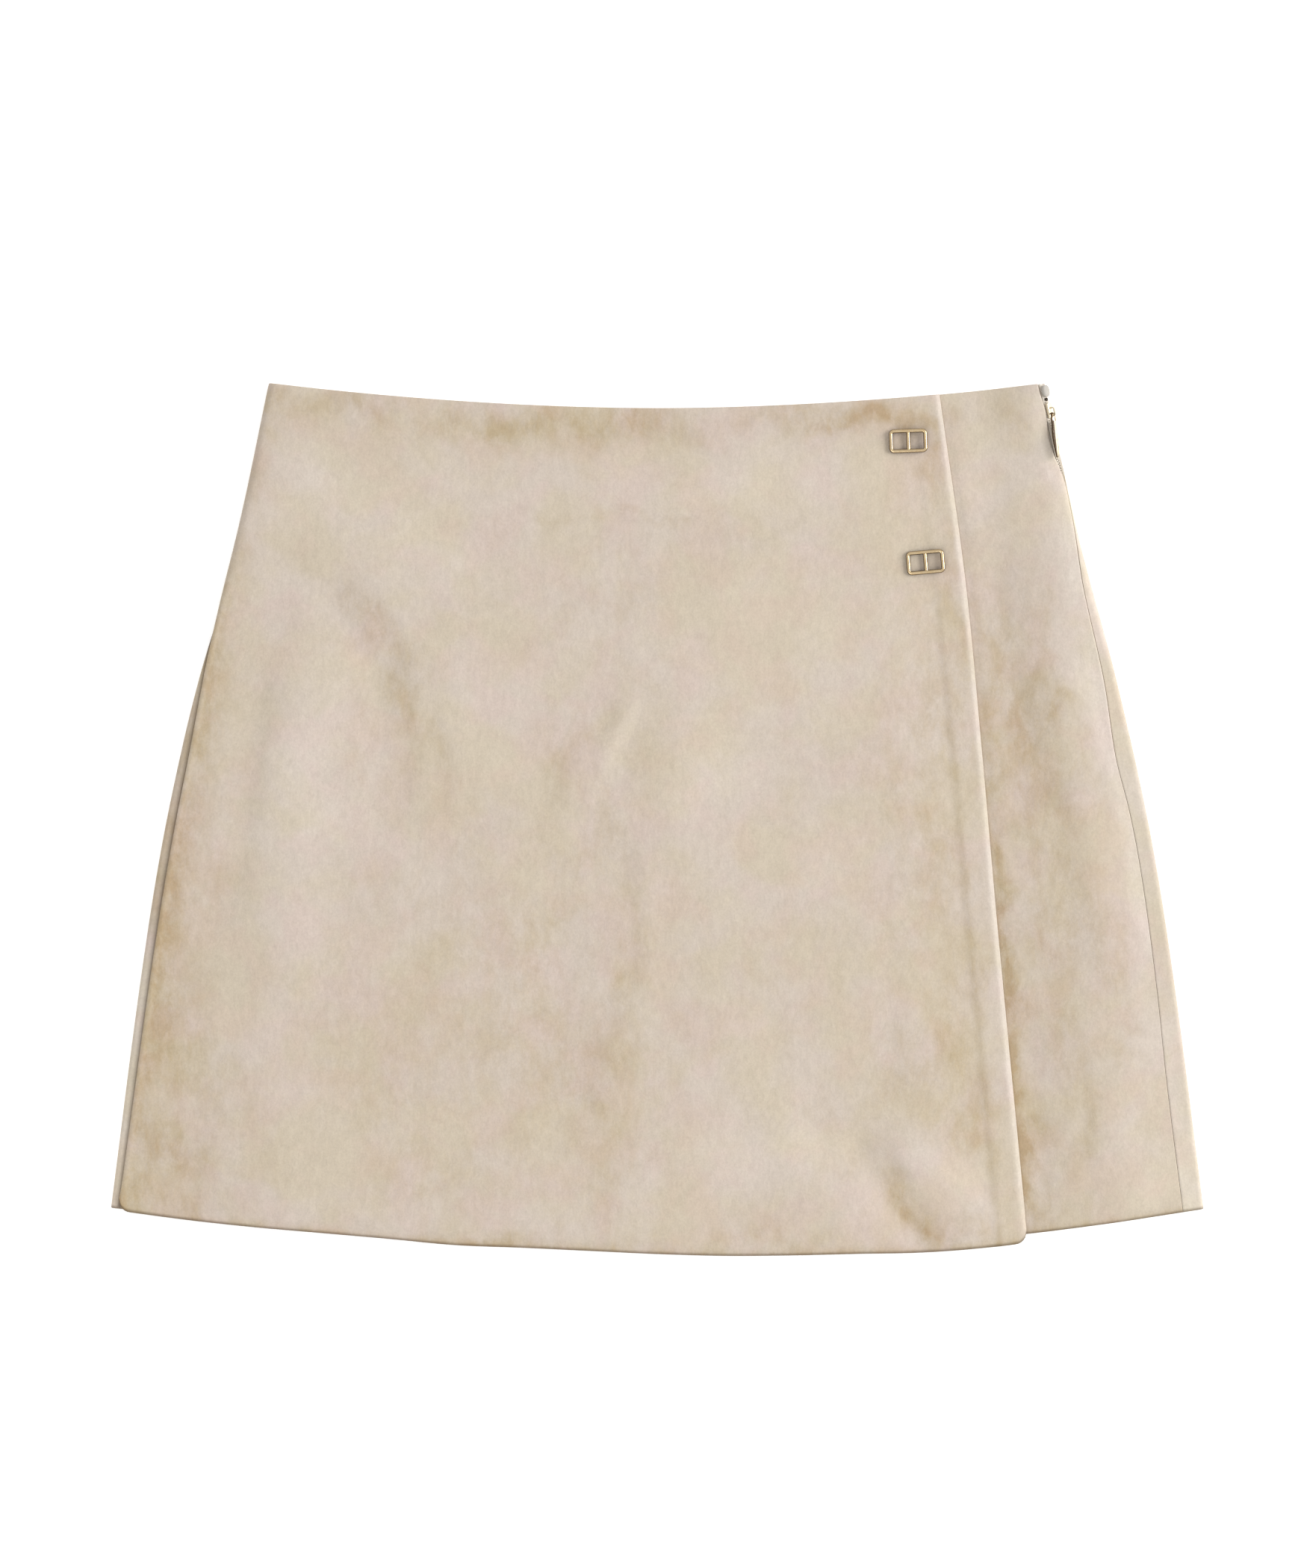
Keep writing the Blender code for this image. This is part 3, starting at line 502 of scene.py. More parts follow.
# Painted highlight on the lip of the leg's side seam.
LIP_HIGHLIGHT = -1.3  # on the lip of the leg's side seam
LIP_HIGHLIGHT_RUN = 5.5
LIP_HIGHLIGHT_TO = 0.74  # level where it ends
LIP_HIGHLIGHT_FADE = 0.15  # differences in level over which it goes and comes
LIP_HIGHLIGHT_START = 0.06

# How shaded the cloth is: at its hems, and on the left where it goes under the wrap's edge.
HEM_SHADE = 0.75
HEM_SHADE_RUN = 0.6
STRIP_SHADE = 0.95
STRIP_SHADE_IN = 0.1
STRIP_SHADE_RUN = 0.85

# How far marks on the nap stray to and fro.
STRAY = (
    # size, wave_length, lean
    (3, 47, 0.4),
    (1.4, 23, -0.7),
    (0.8, 11, 1.1),
)


# ---- Small maths on arrays ----
def mix(a, b, t):
    return a + (b - a) * t


def ease(t):
    """0 to 1, level at both ends."""
    t = np.clip(t, 0.0, 1.0)
    return t * t * (3.0 - 2.0 * t)


def ridge(distance, width):
    """1 at no distance, and softly down to 0 on both sides."""
    return np.exp(-((distance / width) ** 2))


def along(table, at, column=1):
    """A smooth curve through one column of a table, by the table's first column."""
    knots = np.array([row[0] for row in table])
    values = np.array([row[column] for row in table])
    low = np.maximum(np.arange(len(knots)) - 1, 0)
    high = np.minimum(np.arange(len(knots)) + 1, len(knots) - 1)
    slopes = (values[high] - values[low]) / (knots[high] - knots[low])
    at = np.clip(at, knots[0], knots[-1])
    i = np.clip(np.searchsorted(knots, at, side="right") - 1, 0, len(knots) - 2)
    run = knots[i + 1] - knots[i]
    t = (at - knots[i]) / run
    cube, square = t**3, t**2
    return (
        (2 * cube - 3 * square + 1) * values[i]
        + (cube - 2 * square + t) * slopes[i] * run
        + (3 * square - 2 * cube) * values[i + 1]
        + (cube - square) * slopes[i + 1] * run
    )


def off_segment(x, y, x1, y1, x2, y2):
    """Distance from points to a straight stretch."""
    dx, dy = x2 - x1, y2 - y1
    t = np.clip(((x - x1) * dx + (y - y1) * dy) / (dx * dx + dy * dy), 0.0, 1.0)
    return np.hypot(x - x1 - t * dx, y - y1 - t * dy)


def unit(vectors):
    return vectors / np.maximum(np.linalg.norm(vectors, axis=-1, keepdims=True), 1e-9)


# ---- The skort's lines ----
def half_width(level):
    return along(SIDE_LINE, level * SIDE_LENGTH)


def seam(level, column):
    return np.maximum(0.0, along(SIDE_SEAMS, level * SIDE_LENGTH, column))


def waist_y(share):
    return WAIST_CORNER - WAIST_DIP * (1.0 - np.abs(share) ** WAIST_BEND)


def between_edges(x, level, hem):
    """Height of points across a level, from the waist edge down to the given hem."""
    share = x / half_width(level)
    return mix(waist_y(share), along(hem, share * half_width(1.0)), level)


def shorts_y(x, level):
    return between_edges(x, level, SHORTS_HEM)


def wrap_y(x, level):
    return between_edges(x, level, WRAP_HEM)


def overlap_x(level):
    return along(OVERLAP, level)


def inner_edge(level):
    return GAP / 2 + LEG_GAP / 2 * np.maximum(0.0, (level - RISE) / (1.0 - RISE))


# ---- Relief ----
def folds_sum(folds, x, y):
    return sum(
        height * ridge(off_segment(x, y, x1, y1, x2, y2), wide)
        for x1, y1, x2, y2, wide, height in folds
    )


def settled(height):
    """Heights that come down softly to 0, where cloth lies on cloth."""
    soft = (height + SETTLE) ** 2 / (4.0 * SETTLE)
    return np.where(np.abs(height) >= SETTLE, np.maximum(0.0, height), soft)


def near_ends(level):
    to_waist = level * SIDE_LENGTH
    to_hem = SIDE_LENGTH - to_waist
    return ease(to_waist / WAIST_RISE) * ease(HEM_SHARE + to_hem / HEM_RISE)


def wrap_relief(x, y, level):
    from_side = x + half_width(level) - SIDE_FLAT
    to_edge = overlap_x(level) - x
    loft = WRAP_LOFT * ease(from_side / WRAP_RISE) * ease(to_edge / FREE_RISE)
    fade = ease(from_side / FOLDS_FADE) * ease(to_edge / FOLDS_FADE)
    return settled(loft + folds_sum(WRAP_FOLDS, x, y)) * fade * near_ends(level)


def leg_relief(x, y, level):
    from_edge = x - overlap_x(level)
    to_side = half_width(level) - x - SIDE_FLAT
    swell = ease(from_edge / STEP_RUN)
    loft = LEG_STEP * swell + LEG_LOFT * ease(from_edge / LEG_RISE)
    fade = swell * ease(to_side / LEG_FALL)
    own = settled(loft + folds_sum(LEG_FOLDS, x, y)) * fade * near_ends(level)
    return np.where(from_edge < 0.0, SHORTS_SHARE * wrap_relief(x, y, level), own)


# ---- The flattened tube of the shorts, and the wrap over it ----
def fold(side, level):
    """(x, z, radius) of the middle of a side fold: side is -1 on the left and 1 on the right."""
    radius = seam(level, 4 if side < 0 else 5)
    covered = (CLOTH + GAP) * (1.0 - ease(seam(level, 1) / COVER_END)) if side < 0 else 0.0
    return half_width(level) - radius - CLOTH / 2 - covered, radius + CLOTH / 2, radius


def top_height(side, x, level):
    fold_x, fold_z, radius = fold(side, level)
    return mix(FLAT_TOP, fold_z + radius, ease(1.0 + (x - fold_x) / FOLD_RUN))


def tube_points(side, place, level):
    """Points in the middle of the shorts' cloth: place 0 is the top of the side fold."""
    fold_x, fold_z, radius = fold(side, level)
    turn = np.clip(place / radius, 0.0, np.pi)
    back = np.maximum(place - np.pi * radius, 0.0)
    x = fold_x + np.minimum(place, 0.0) + radius * np.sin(turn) - back
    y = shorts_y(side * x, level)
    top = top_height(side, x, level) + leg_relief(side * x, y, level)
    z = np.where(place <= 0.0, top, fold_z + radius * np.cos(turn))
    return np.stack([side * x, y, z], axis=-1)


def wrap_points(place, level):
    """Points in the middle of the wrap's cloth: place 0 is over the top of the left fold."""
    fold_x, fold_z, radius = fold(-1, level)
    radius = radius + CLOTH + GAP
    turn = np.maximum(-place, 0.0) / radius
    x = np.where(place < 0.0, -fold_x - radius * np.sin(turn), -fold_x + place)
    y = wrap_y(x, level)
    far = np.abs(x)
    top = np.where(x < 0.0, top_height(-1, far, level), top_height(1, far, level))
    top = top + CLOTH + GAP + wrap_relief(x, y, level)
    z = np.where(place < 0.0, fold_z + radius * np.cos(turn), top)
    return np.stack([x, y, z], axis=-1)


def place_of(side, level, inset):
    """The place round the fold that shows at a distance inside the outline."""
    fold_x, _, radius = fold(side, level)
    beyond = half_width(level) - inset - fold_x
    round_it = radius * np.arcsin(np.clip(beyond / (radius + CLOTH / 2), 0.0, 1.0))
    return np.where(beyond <= 0.0, beyond, round_it)


def seam_places(side, level):
    """(front edge, back edge) of the cloth at a side seam, apart where the zip is."""
    middle = place_of(side, level, seam(level, 2 if side < 0 else 3))
    front, back = middle - GAP / 2, middle + GAP / 2
    if side < 0:
        return front, back
    drop = level * SIDE_LENGTH
    lip = FRONT_LIP + LIP_PUSHED * ridge(drop - PUSHED_DROP, PUSHED_RUN)
    shut = ease((drop - ZIP_OPEN_TO) / (ZIP_SHUT_FROM - ZIP_OPEN_TO))
    radius = fold(side, level)[2]
    return mix(lip, front, shut), mix(radius * BACK_LIP_TURN, back, shut)


def wrap_edges(level):
    """(left edge, free edge) of the wrap."""
    fold_x, _, radius = fold(-1, level)
    beyond = half_width(level) - seam(level, 1) - fold_x
    radius = radius + CLOTH + GAP
    round_it = -radius * np.arcsin(np.clip(beyond / (radius + CLOTH / 2), 0.0, EDGE_TURN))
    return np.where(beyond <= 0.0, -beyond, round_it), overlap_x(level) + fold_x


# ---- Cloth shells ----
def row_levels():
    """Levels from waist to hem, closer together at both, as a column."""
    middle = np.arange(EDGE_STEPS[-1] + ROW_STEP, SIDE_LENGTH - EDGE_STEPS[-1], ROW_STEP)
    near = np.array(EDGE_STEPS)
    drops = np.concatenate([near, middle[:-1], SIDE_LENGTH - near[::-1]])
    return (drops / SIDE_LENGTH)[:, None]


def columns(start, end, step, fine_start=False, fine_end=False):
    """Places from start to end for each row, in steps, closer at an edge that shows."""
    start, end = np.broadcast_arrays(start, end)
    head = np.array(EDGE_STEPS if fine_start else (0.0,))
    tail = np.array(EDGE_STEPS if fine_end else (0.0,))
    long = float(np.max(np.abs(end - start))) - head[-1] - tail[-1]
    count = max(2, int(round(long / step)))
    share = np.linspace(0.0, 1.0, count + 1)[None, 1:-1]
    first, last = start + head[-1], end - tail[-1]
    return np.concatenate([start + head, mix(first, last, share), end - tail[::-1]], axis=1)


def shell(name, middle, facing, material, thick=CLOTH, lift=0.0, noses=(0, 0, 0, 0), **marks):
    """A closed wall of cloth round a grid of points. facing is 1 where columns run to the left
    on its outer face. lift raises that face. noses are how far the waist edge, last column, hem
    edge and first column swell, and marks are grids of values that the material reads."""
    across = np.gradient(middle, axis=1)
    down = np.gradient(middle, axis=0)
    normal = unit(np.cross(across, down)) * facing
    lift = np.broadcast_to(lift, middle.shape[:2])[..., None]
    outer = middle + normal * (thick / 2 + lift)
    inner = middle - normal * thick / 2
    long, wide = middle.shape[:2]
    count = long * wide
    index = np.arange(count).reshape(long, wide)
    quads = np.stack([index[:-1, :-1], index[:-1, 1:], index[1:, 1:], index[1:, :-1]], axis=-1)
    quads = quads.reshape(-1, 4)

    ways = np.zeros_like(middle)
    for edge, way, swell in (
        (np.s_[0, :], -unit(down[0]), noses[0]),
        (np.s_[:, -1], unit(across[:, -1]), noses[1]),
        (np.s_[-1, :], unit(down[-1]), noses[2]),
        (np.s_[:, 0], -unit(across[:, 0]), noses[3]),
    ):
        ways[edge] += way * np.reshape(swell, (-1, 1))
    rim = np.concatenate([index[0, :], index[1:, -1], index[-1, -2::-1], index[-2:0:-1, 0]])
    outer, inner, ways = (grid.reshape(-1, 3) for grid in (outer, inner, ways))
    centre = (outer[rim] + inner[rim]) / 2
    half = (outer[rim] - inner[rim]) / 2
    rings = [rim]
    points = [outer, inner]
    for k in range(1, NOSE_ROUNDS):
        turn = math.pi * k / NOSE_ROUNDS
        points.append(centre + half * math.cos(turn) + ways[rim] * math.sin(turn))
        rings.append(2 * count + (k - 1) * len(rim) + np.arange(len(rim)))
    rings.append(rim + count)
    strips = [
        np.stack([a, b, np.roll(b, -1), np.roll(a, -1)], axis=-1)
        for a, b in zip(rings, rings[1:])
    ]
    faces = np.concatenate([quads, quads[:, ::-1] + count] + strips)
    for mark, values in marks.items():
        flat = np.broadcast_to(values, (long, wide)).reshape(-1)
        marks[mark] = np.concatenate([flat, flat] + [flat[rim]] * (NOSE_ROUNDS - 1))
    return mesh_object(name, np.concatenate(points), faces.tolist(), material, marks=marks)


def placed(name, data):
    """A new object in the scene, round a mesh, a light or a camera."""
    made = bpy.data.objects.new(name, data)
    bpy.context.scene.collection.objects.link(made)
    return made


def mesh_object(name, points, faces, material, marks=None, angle=None, merge=0.0):
    """A smooth object whose faces point outwards, from points in millimetres. marks are values
    for each point, angle keeps steeper edges sharp, and merge joins points that near."""
    mesh = bpy.data.meshes.new(name)
    mesh.from_pydata(np.asarray(points) * MM, [], faces)
    for mark, values in (marks or {}).items():
        mesh.attributes.new(mark, "FLOAT", "POINT").data.foreach_set("value", values)
    shaped = bmesh.new()
    shaped.from_mesh(mesh)
    if merge:
        bmesh.ops.remove_doubles(shaped, verts=shaped.verts, dist=merge * MM)
    bmesh.ops.recalc_face_normals(shaped, faces=shaped.faces)
    shaped.to_mesh(mesh)
    shaped.free()
    mesh.materials.append(material)
    mesh.shade_smooth()
    if angle:
        mesh.set_sharp_from_angle(angle=math.radians(angle))
    return placed(name, mesh)


def strayed(x, y):
    """Points moved to and fro in waves, so that a mark drawn there has a ragged outline."""
    for size, long, lean in STRAY:
        turn = 2 * math.pi / long
        x, y = x + size * np.sin(turn * (y + lean * x)), y + size * np.cos(turn * (x - lean * y))
    return x, y


def nap_of(marks, grid):
    """Sum of the marks at each point: partly the nap's lie, partly painted shade and light."""
    x, y = strayed(grid[..., 0], grid[..., 1])
    total = np.zeros(x.shape)
    for mark_x, mark_y, long, wide, degrees, strength in marks:
        turn = math.radians(degrees)
        dx, dy = x - mark_x, y - mark_y
        u = (dx * math.cos(turn) + dy * math.sin(turn)) / long
        v = (dy * math.cos(turn) - dx * math.sin(turn)) / wide
        total += strength * np.exp(-(u * u + v * v))
    return total


# ---- Panels ----
def above_hem(level):
    return (1.0 - level) * SIDE_LENGTH


# Painted shade along the hem.
def hem_nap(level):
    return HEM_PAINTED_SHADE * ridge(above_hem(level), HEM_PAINTED_SHADE_RUN)


def hem_shade(level):
    return HEM_SHADE * ridge(above_hem(level), HEM_SHADE_RUN)


def creased(grid, creases, distances, fades):
    """Adds creases to a panel. Each distance is from an edge beside which they fade."""
    relief = folds_sum(creases, grid[..., 0], grid[..., 1])
    for distance, (start, run) in zip(distances, fades):
        relief = relief * ease((distance - start) / run)
    grid[..., 2] += relief


def round_corners(grid, level, to_left, to_right):
    """Lifts the hem beside the wrap's two edges, so that its corners are round."""
    near_hem = np.clip(1.0 - above_hem(level) / CORNER_FADE, 0.0, 1.0)
    for to_edge in (to_left, to_right):
        short = CORNER - np.clip(to_edge, 0.0, CORNER)
        grid[..., 1] += (CORNER - np.sqrt(CORNER**2 - short**2)) * near_hem


def pressed_line(strength, width, to_edge, level):
    """The line pressed along the cloth that is turned in. It fades towards the waist."""
    line = strength * ridge(to_edge - TURNED_EDGE + GROOVE_IN, width)
    return line * ease((level - GROOVE_FROM) / (GROOVE_WHOLE - GROOVE_FROM))


def free_edge(to_edge, level):
    """How the turned-in cloth shapes the wrap's face: raised, pressed in a line, and rounded."""
    whole = TURNED_STEP * mix(TURNED_AT_WAIST, 1.0, ease(level / TURNED_FULL_AT))
    short = 1.0 - np.clip(to_edge / EDGE_ROUND, 0.0, 1.0)
    drop = EDGE_DROP * (1.0 - np.sqrt(1.0 - short**2))
    raised = whole * ease((TURNED_EDGE - to_edge) / TURNED_RUN + 0.5)
    return raised - drop - pressed_line(GROOVE_DEEP, GROOVE_WIDE, to_edge, level)


def wrap_panel(material):
    level = row_levels()
    left, right = wrap_edges(level)
    main = columns(left, right - FACING_ZONE, WIDE_STEP, fine_start=True)
    facing = columns(right - FACING_ZONE, right, FACING_STEP, fine_end=True)
    place = np.concatenate([main, facing[:, 1:]], axis=1)
    to_left, to_free = place - left, right - place
    grid = wrap_points(place, level)
    distances = (grid[..., 0] + half_width(level), to_free, level * SIDE_LENGTH)
    creased(grid, WRAP_CREASES, distances, WRAP_CREASE_FADES)
    # Marks partly of nap, partly painted shade and light; then painted shade along the hem and left
    # edge, a painted highlight on the free edge and painted shade in the pressed line.
    nap = nap_of(WRAP_NAP_AND_LIGHT, grid) + hem_nap(level)
    nap += along(LEFT_EDGE_SHADE, level) * ridge(to_left, LEFT_EDGE_SHADE_RUN)
    nap += EDGE_HIGHLIGHT * ridge(to_free, EDGE_HIGHLIGHT_RUN)
    nap += pressed_line(GROOVE_SHADE, GROOVE_SHADE_RUN, to_free, level)
    round_corners(grid, level, to_left, to_free)
    lift = free_edge(to_free, level) + WELT_HIGH * ridge(to_left - WELT_WIDE, WELT_WIDE)
    marks = {"nap": nap, "shade": hem_shade(level)}
    return shell("wrap_cloth", grid, -1, material, lift=lift, noses=WRAP_NOSES, **marks)


def leg_shell(name, side, grid, material, lift=0.0, nose=SEAM_NOSE, **marks):
    noses = (LEG_WAIST_NOSE, nose, LEG_HEM_NOSE, SEAM_NOSE)
    return shell(name, grid, -side, material, lift=lift, noses=noses, **marks)


def front_leg(name, side, material):
    """Hidden under the wrap on the left, and with a swollen lip over the zip on the right."""
    level = row_levels()
    drop = level * SIDE_LENGTH
    edge = seam_places(side, level)[0]
    fold_x = fold(side, level)[0]
    inner = inner_edge(level) - fold_x
    marks = {"shade": hem_shade(level)}
    if side < 0:
        grid = tube_points(side, columns(inner, edge, HIDDEN_STEP), level)
        # Marks partly of nap, partly painted shade and light, and painted shade along the hem.
        marks["nap"] = nap_of(LEG_NAP_AND_LIGHT, grid) + hem_nap(level)
        return leg_shell(name, side, grid, material, **marks)
    swell = LIP_NOSE * (1.0 - ease((drop - LIP_TO + LIP_NOSE_RUN) / LIP_NOSE_RUN))
    edge = edge - swell
    covered = overlap_x(level) - UNDER_WRAP - fold_x
    hidden = columns(inner, covered, HIDDEN_STEP)
    shown = columns(covered, edge, SHOWN_STEP, fine_end=True)
    place = np.concatenate([hidden, shown[:, 1:]], axis=1)
    grid = tube_points(side, place, level)
    distances = (grid[..., 0] - overlap_x(level), half_width(level) - grid[..., 0])
    creased(grid, LEG_CREASES, distances, LEG_CREASE_FADES)
    # Marks partly of nap, partly painted shade and light, painted shade along the hem, and a painted
    # highlight on the seam's lip.
    marks["nap"] = nap_of(LEG_NAP_AND_LIGHT, grid) + hem_nap(level)
    pale = LIP_HIGHLIGHT * ease((LIP_HIGHLIGHT_TO - level) / LIP_HIGHLIGHT_FADE) * ease(level / LIP_HIGHLIGHT_START)
    marks["nap"] += pale * ridge(edge - place, LIP_HIGHLIGHT_RUN)
    lip = LIP_HIGH * ease((drop - LIP_FROM) / LIP_RISE) * ease((LIP_TO - drop) / LIP_FALL)
    lift = lip * ridge(edge - place, LIP_WIDE)
    return leg_shell(name, side, grid, material, lift, SEAM_NOSE + swell, **marks)


def back_leg(name, side, material):
    """It comes round the side fold, and shows as a strip beside the front."""
    level = row_levels()
    edge = seam_places(side, level)[1]
    fold_x, _, radius = fold(side, level)
    low = np.pi * radius
    strip = columns(edge, np.maximum(edge + STRIP_LEAST, 0.0), STRIP_STEP)
    arc = columns(strip[:, -1:], low, ARC_STEP)
    flat = columns(low, low + fold_x - inner_edge(level), HIDDEN_STEP)
    place = np.concatenate([strip, arc[:, 1:], flat[:, 1:]], axis=1)
    grid = tube_points(side, place, level)
    # Painted shade and painted light on the strips by level, painted shade at the hem, and on the left,
    # painted shade where the strip goes under the wrap's edge.
    nap = along(LEFT_STRIP_LIGHT_AND_SHADE if side < 0 else RIGHT_STRIP_LIGHT_AND_SHADE, level)
    shade = hem_shade(level)
    if side < 0:
        under = half_width(level) + grid[..., 0] - seam(level, 1) + STRIP_SHADE_IN
        shade = np.maximum(shade, STRIP_SHADE * ridge(under, STRIP_SHADE_RUN))
    return leg_shell(name, side, grid, material, nap=nap, shade=shade)


def zip_tape(material):
    level = np.linspace(0.0, ZIP_LENGTH / SIDE_LENGTH, TAPE_ROWS)[:, None]
    middle = place_of(1, level, seam(level, 3))
    reach = mix(TAPE_REACH_TOP, TAPE_REACH, ease(level * SIDE_LENGTH / ZIP_SHUT_FROM))
    place = columns(middle - reach, middle + reach, TAPE_STEP)
    grid = tube_points(1, place, level)
    inward = unit(np.cross(np.gradient(grid, axis=1), np.gradient(grid, axis=0)))
    grid = grid + inward * (CLOTH / 2 + GAP + TAPE_THICK / 2)
    return shell("zip_tape_cloth", grid, -1, material, thick=TAPE_THICK, noses=TAPE_NOSES)


# ---- Hard pieces ----
def zip_axes(drop):
    """The middle of the right fold at a drop, with axes: across the zip, down it, outwards."""
    def middle(at):
        at = np.array([[at / SIDE_LENGTH]])
        fold_x, fold_z, _ = fold(1, at)
        return Vector((fold_x.item(), shorts_y(fold_x, at).item(), fold_z.item()))

    down = (middle(drop + AXIS_REACH) - middle(drop - AXIS_REACH)).normalized()
    level_out = Vector((-down.y, down.x, 0.0)).normalized()
    outward = level_out * math.cos(HINGE_TILT) + Vector((0, 0, math.sin(HINGE_TILT)))
    outward = (outward - down * outward.dot(down)).normalized()
    axes = Matrix((down.cross(outward), down, outward)).transposed()
    return middle(drop), axes


def lofted(rings, closed=False, capped=True):
    """Points and faces through rings of points. closed joins the last ring to the first, and
    capped puts a face on both ends of a shape that isn't closed."""
    count, wide = len(rings), len(rings[0])
    faces = []
    for i in range(count if closed else count - 1):
        a, b = i * wide, (i + 1) % count * wide
        for j in range(wide):
            k = (j + 1) % wide
            faces.append((a + j, a + k, b + k, b + j))
    if capped and not closed:
        faces += [tuple(range(wide))[::-1], tuple(range((count - 1) * wide, count * wide))]
    return [point for row in rings for point in row], faces


def swept(path, sideways, upwards, section, closed=False):
    """A section, a list of (sideways, upwards), carried along a path."""
    rings = [
        [spot + across * a + up * b for a, b in section]
        for spot, across, up in zip(path, sideways, upwards)
    ]
    return lofted(rings, closed)


def joined(*shapes):
    points, faces = [], []
    for some, more in shapes:
        faces += [tuple(k + len(points) for k in face) for face in more]
        points += some
    return points, faces


def ring(radius, count=12):
    turns = [2 * math.pi * k / count for k in range(count)]
    return [(radius * math.cos(turn), radius * math.sin(turn)) for turn in turns]


def bar_section(wide, high):
    """A bar with a narrow flat top and round shoulders, from one foot to the other."""
    half = [(wide / 2, 0.0)]
    for k in range(SHOULDER_ROUNDS + 1):
        turn = math.radians(90) * k / SHOULDER_ROUNDS
        across = mix(SHOULDER_IN, 1.0, math.cos(turn))
        half.append((wide / 2 * across, high * mix(SHOULDER_UP, 1.0, math.sin(turn))))
    return half + [(-a, b) for a, b in reversed(half)]


def slide(name, turn, material):
    """A polished frame with rounded corners and a bar across its middle, where the node lies."""
    low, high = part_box(name)
    middle = (low + high) / 2 / MM
    wide, tall, thick = SLIDE_SIZE
    across, up = wide / 2 - SLIDE_BAR / 2, tall / 2 - SLIDE_BAR / 2
    path, sideways = [], []
    for corner, (sign_x, sign_y) in enumerate(((1, 1), (-1, 1), (-1, -1), (1, -1))):
        bend = Vector((sign_x * (across - SLIDE_CORNER), sign_y * (up - SLIDE_CORNER), 0.0))
        for k in range(CORNER_ROUNDS + 1):
            angle = math.radians(90) * (corner + k / CORNER_ROUNDS)
            way = Vector((math.cos(angle), math.sin(angle), 0.0))
            path.append(bend + way * SLIDE_CORNER)
            sideways.append(way)
    upwards = [Vector((0, 0, 1))] * len(path)
    sides = swept(path, sideways, upwards, bar_section(SLIDE_BAR, thick), closed=True)
    bar_high = BAR_SHARE * thick
    ends = [Vector((0, sign * (up - BAR_SHORT * SLIDE_BAR), 0.0)) for sign in (-1, 1)]
    steps = [Vector((1, 0, 0))] * 2
    bar = swept(ends, steps, upwards[:2], bar_section(SLIDE_BAR, bar_high))
    points, faces = joined(sides, bar)
    tops = [thick] * len(sides[0]) + [bar_high] * len(bar[0])
    # Painted shade and painted dark reflections on each bar's flanks, below its flat top.
    painted_dark = [(PAINTED_DARK_BELOW - point.z / top) / PAINTED_DARK_RUN for point, top in zip(points, tops)]
    turned = Matrix.Rotation(math.radians(turn), 3, "Z")
    seat = Vector((middle.x, middle.y, low.z / MM))
    points = [turned @ point + seat for point in points]
    marks = {"painted_dark": np.clip(painted_dark, 0.0, 1.0)}
    return mesh_object(name + "_metal", points, faces, material, marks=marks, angle=50)


def pull_ring(along_it, half):
    """A ring of points round the pull's tab, with that half width at a distance along it."""
    rim = min(PULL_RIM, PULL_RIM_SHARE * half)
    top = [(share * half - inward - rims * rim, up) for share, inward, rims, up in PULL_SECTION]
    top += [(-a, b) for a, b in reversed(top[:-1])]
    under = [(a, -b) for a, b in reversed(top[1:-1])]
    return [Vector((a, along_it, b)) for a, b in top + under]


def eye_path():
    """The middle of the pull's wire, from its tab round the slider's bridge and back."""
    reach, root = PULL_OUTLINE[0][1] - WIRE, EYE_LENGTH + EYE_ROOT
    corners = [Vector((x, y, 0)) for x, y in ((-reach, root), (-reach, 0), (reach, 0), (reach, root))]
    path = []
    for a, b in zip(corners, corners[1:]):
        path += [a.lerp(b, k / EYE_STEPS) for k in range(EYE_STEPS)]
    path.append(corners[-1])
    for _ in range(EYE_SMOOTHED):
        inner = [(a + 2 * b + c) / 4 for a, b, c in zip(path, path[1:], path[2:])]
        path = [path[0]] + inner + [path[-1]]
    return path


def zip_pull(material):
    """A narrow tab with a raised rim, hung by a wire eye from the slider's bridge."""
    middle, axes = zip_axes(HINGE_DROP)
    origin = middle + axes.col[2] * HINGE_OUT
    tab_length = PULL_OUTLINE[-1][0] - EYE_LENGTH
    rings = []
    for turn in np.linspace(0.0, np.pi, PULL_STATIONS):
        at = EYE_LENGTH + tab_length * (1.0 - np.cos(turn)) / 2
        rings.append(pull_ring(at, max(PULL_LEAST, np.interp(at, *zip(*PULL_OUTLINE)))))
    path = eye_path()
    ways = [(b - a).normalized() for a, b in zip(path, path[1:])]
    ways.append(ways[-1])
    up = Vector((0, 0, 1))
    eye = swept(path, [way.cross(up) for way in ways], [up] * len(path), ring(WIRE))
    points, faces = joined(lofted(rings), eye)
    # Painted shade and painted dark reflection on one side of the tab and its eye.
    marks = {"painted_dark": np.clip([point.x / PULL_PAINTED_DARK_RUN for point in points], 0.0, 1.0)}
    lean = Matrix.Rotation(-PULL_LEAN, 3, "Z")
    points = [axes @ (lean @ point) + origin for point in points]
    return mesh_object("zip_pull_metal", points, faces, material, marks=marks, angle=40)


def pad(name, drop, size, out, material, around=20, up=12):
    """A block with round corners on the zip's line, with half sizes along the zip's axes."""
    middle, axes = zip_axes(drop)
    rings = []
    for i in range(up + 1):
        tilt = math.pi * i / up
        row = []
        for a, b in ring(math.sin(tilt), around):
            square = [math.copysign(abs(part) ** PAD_ROUND, part) for part in (a, b, math.cos(tilt))]
            sized = Vector([part * half for part, half in zip(square, size)])
            row.append(middle + axes @ (sized + Vector((0, 0, out))))
        rings.append(row)
    points, faces = lofted(rings, capped=False)
    return mesh_object(name, points, faces, material, merge=0.01)


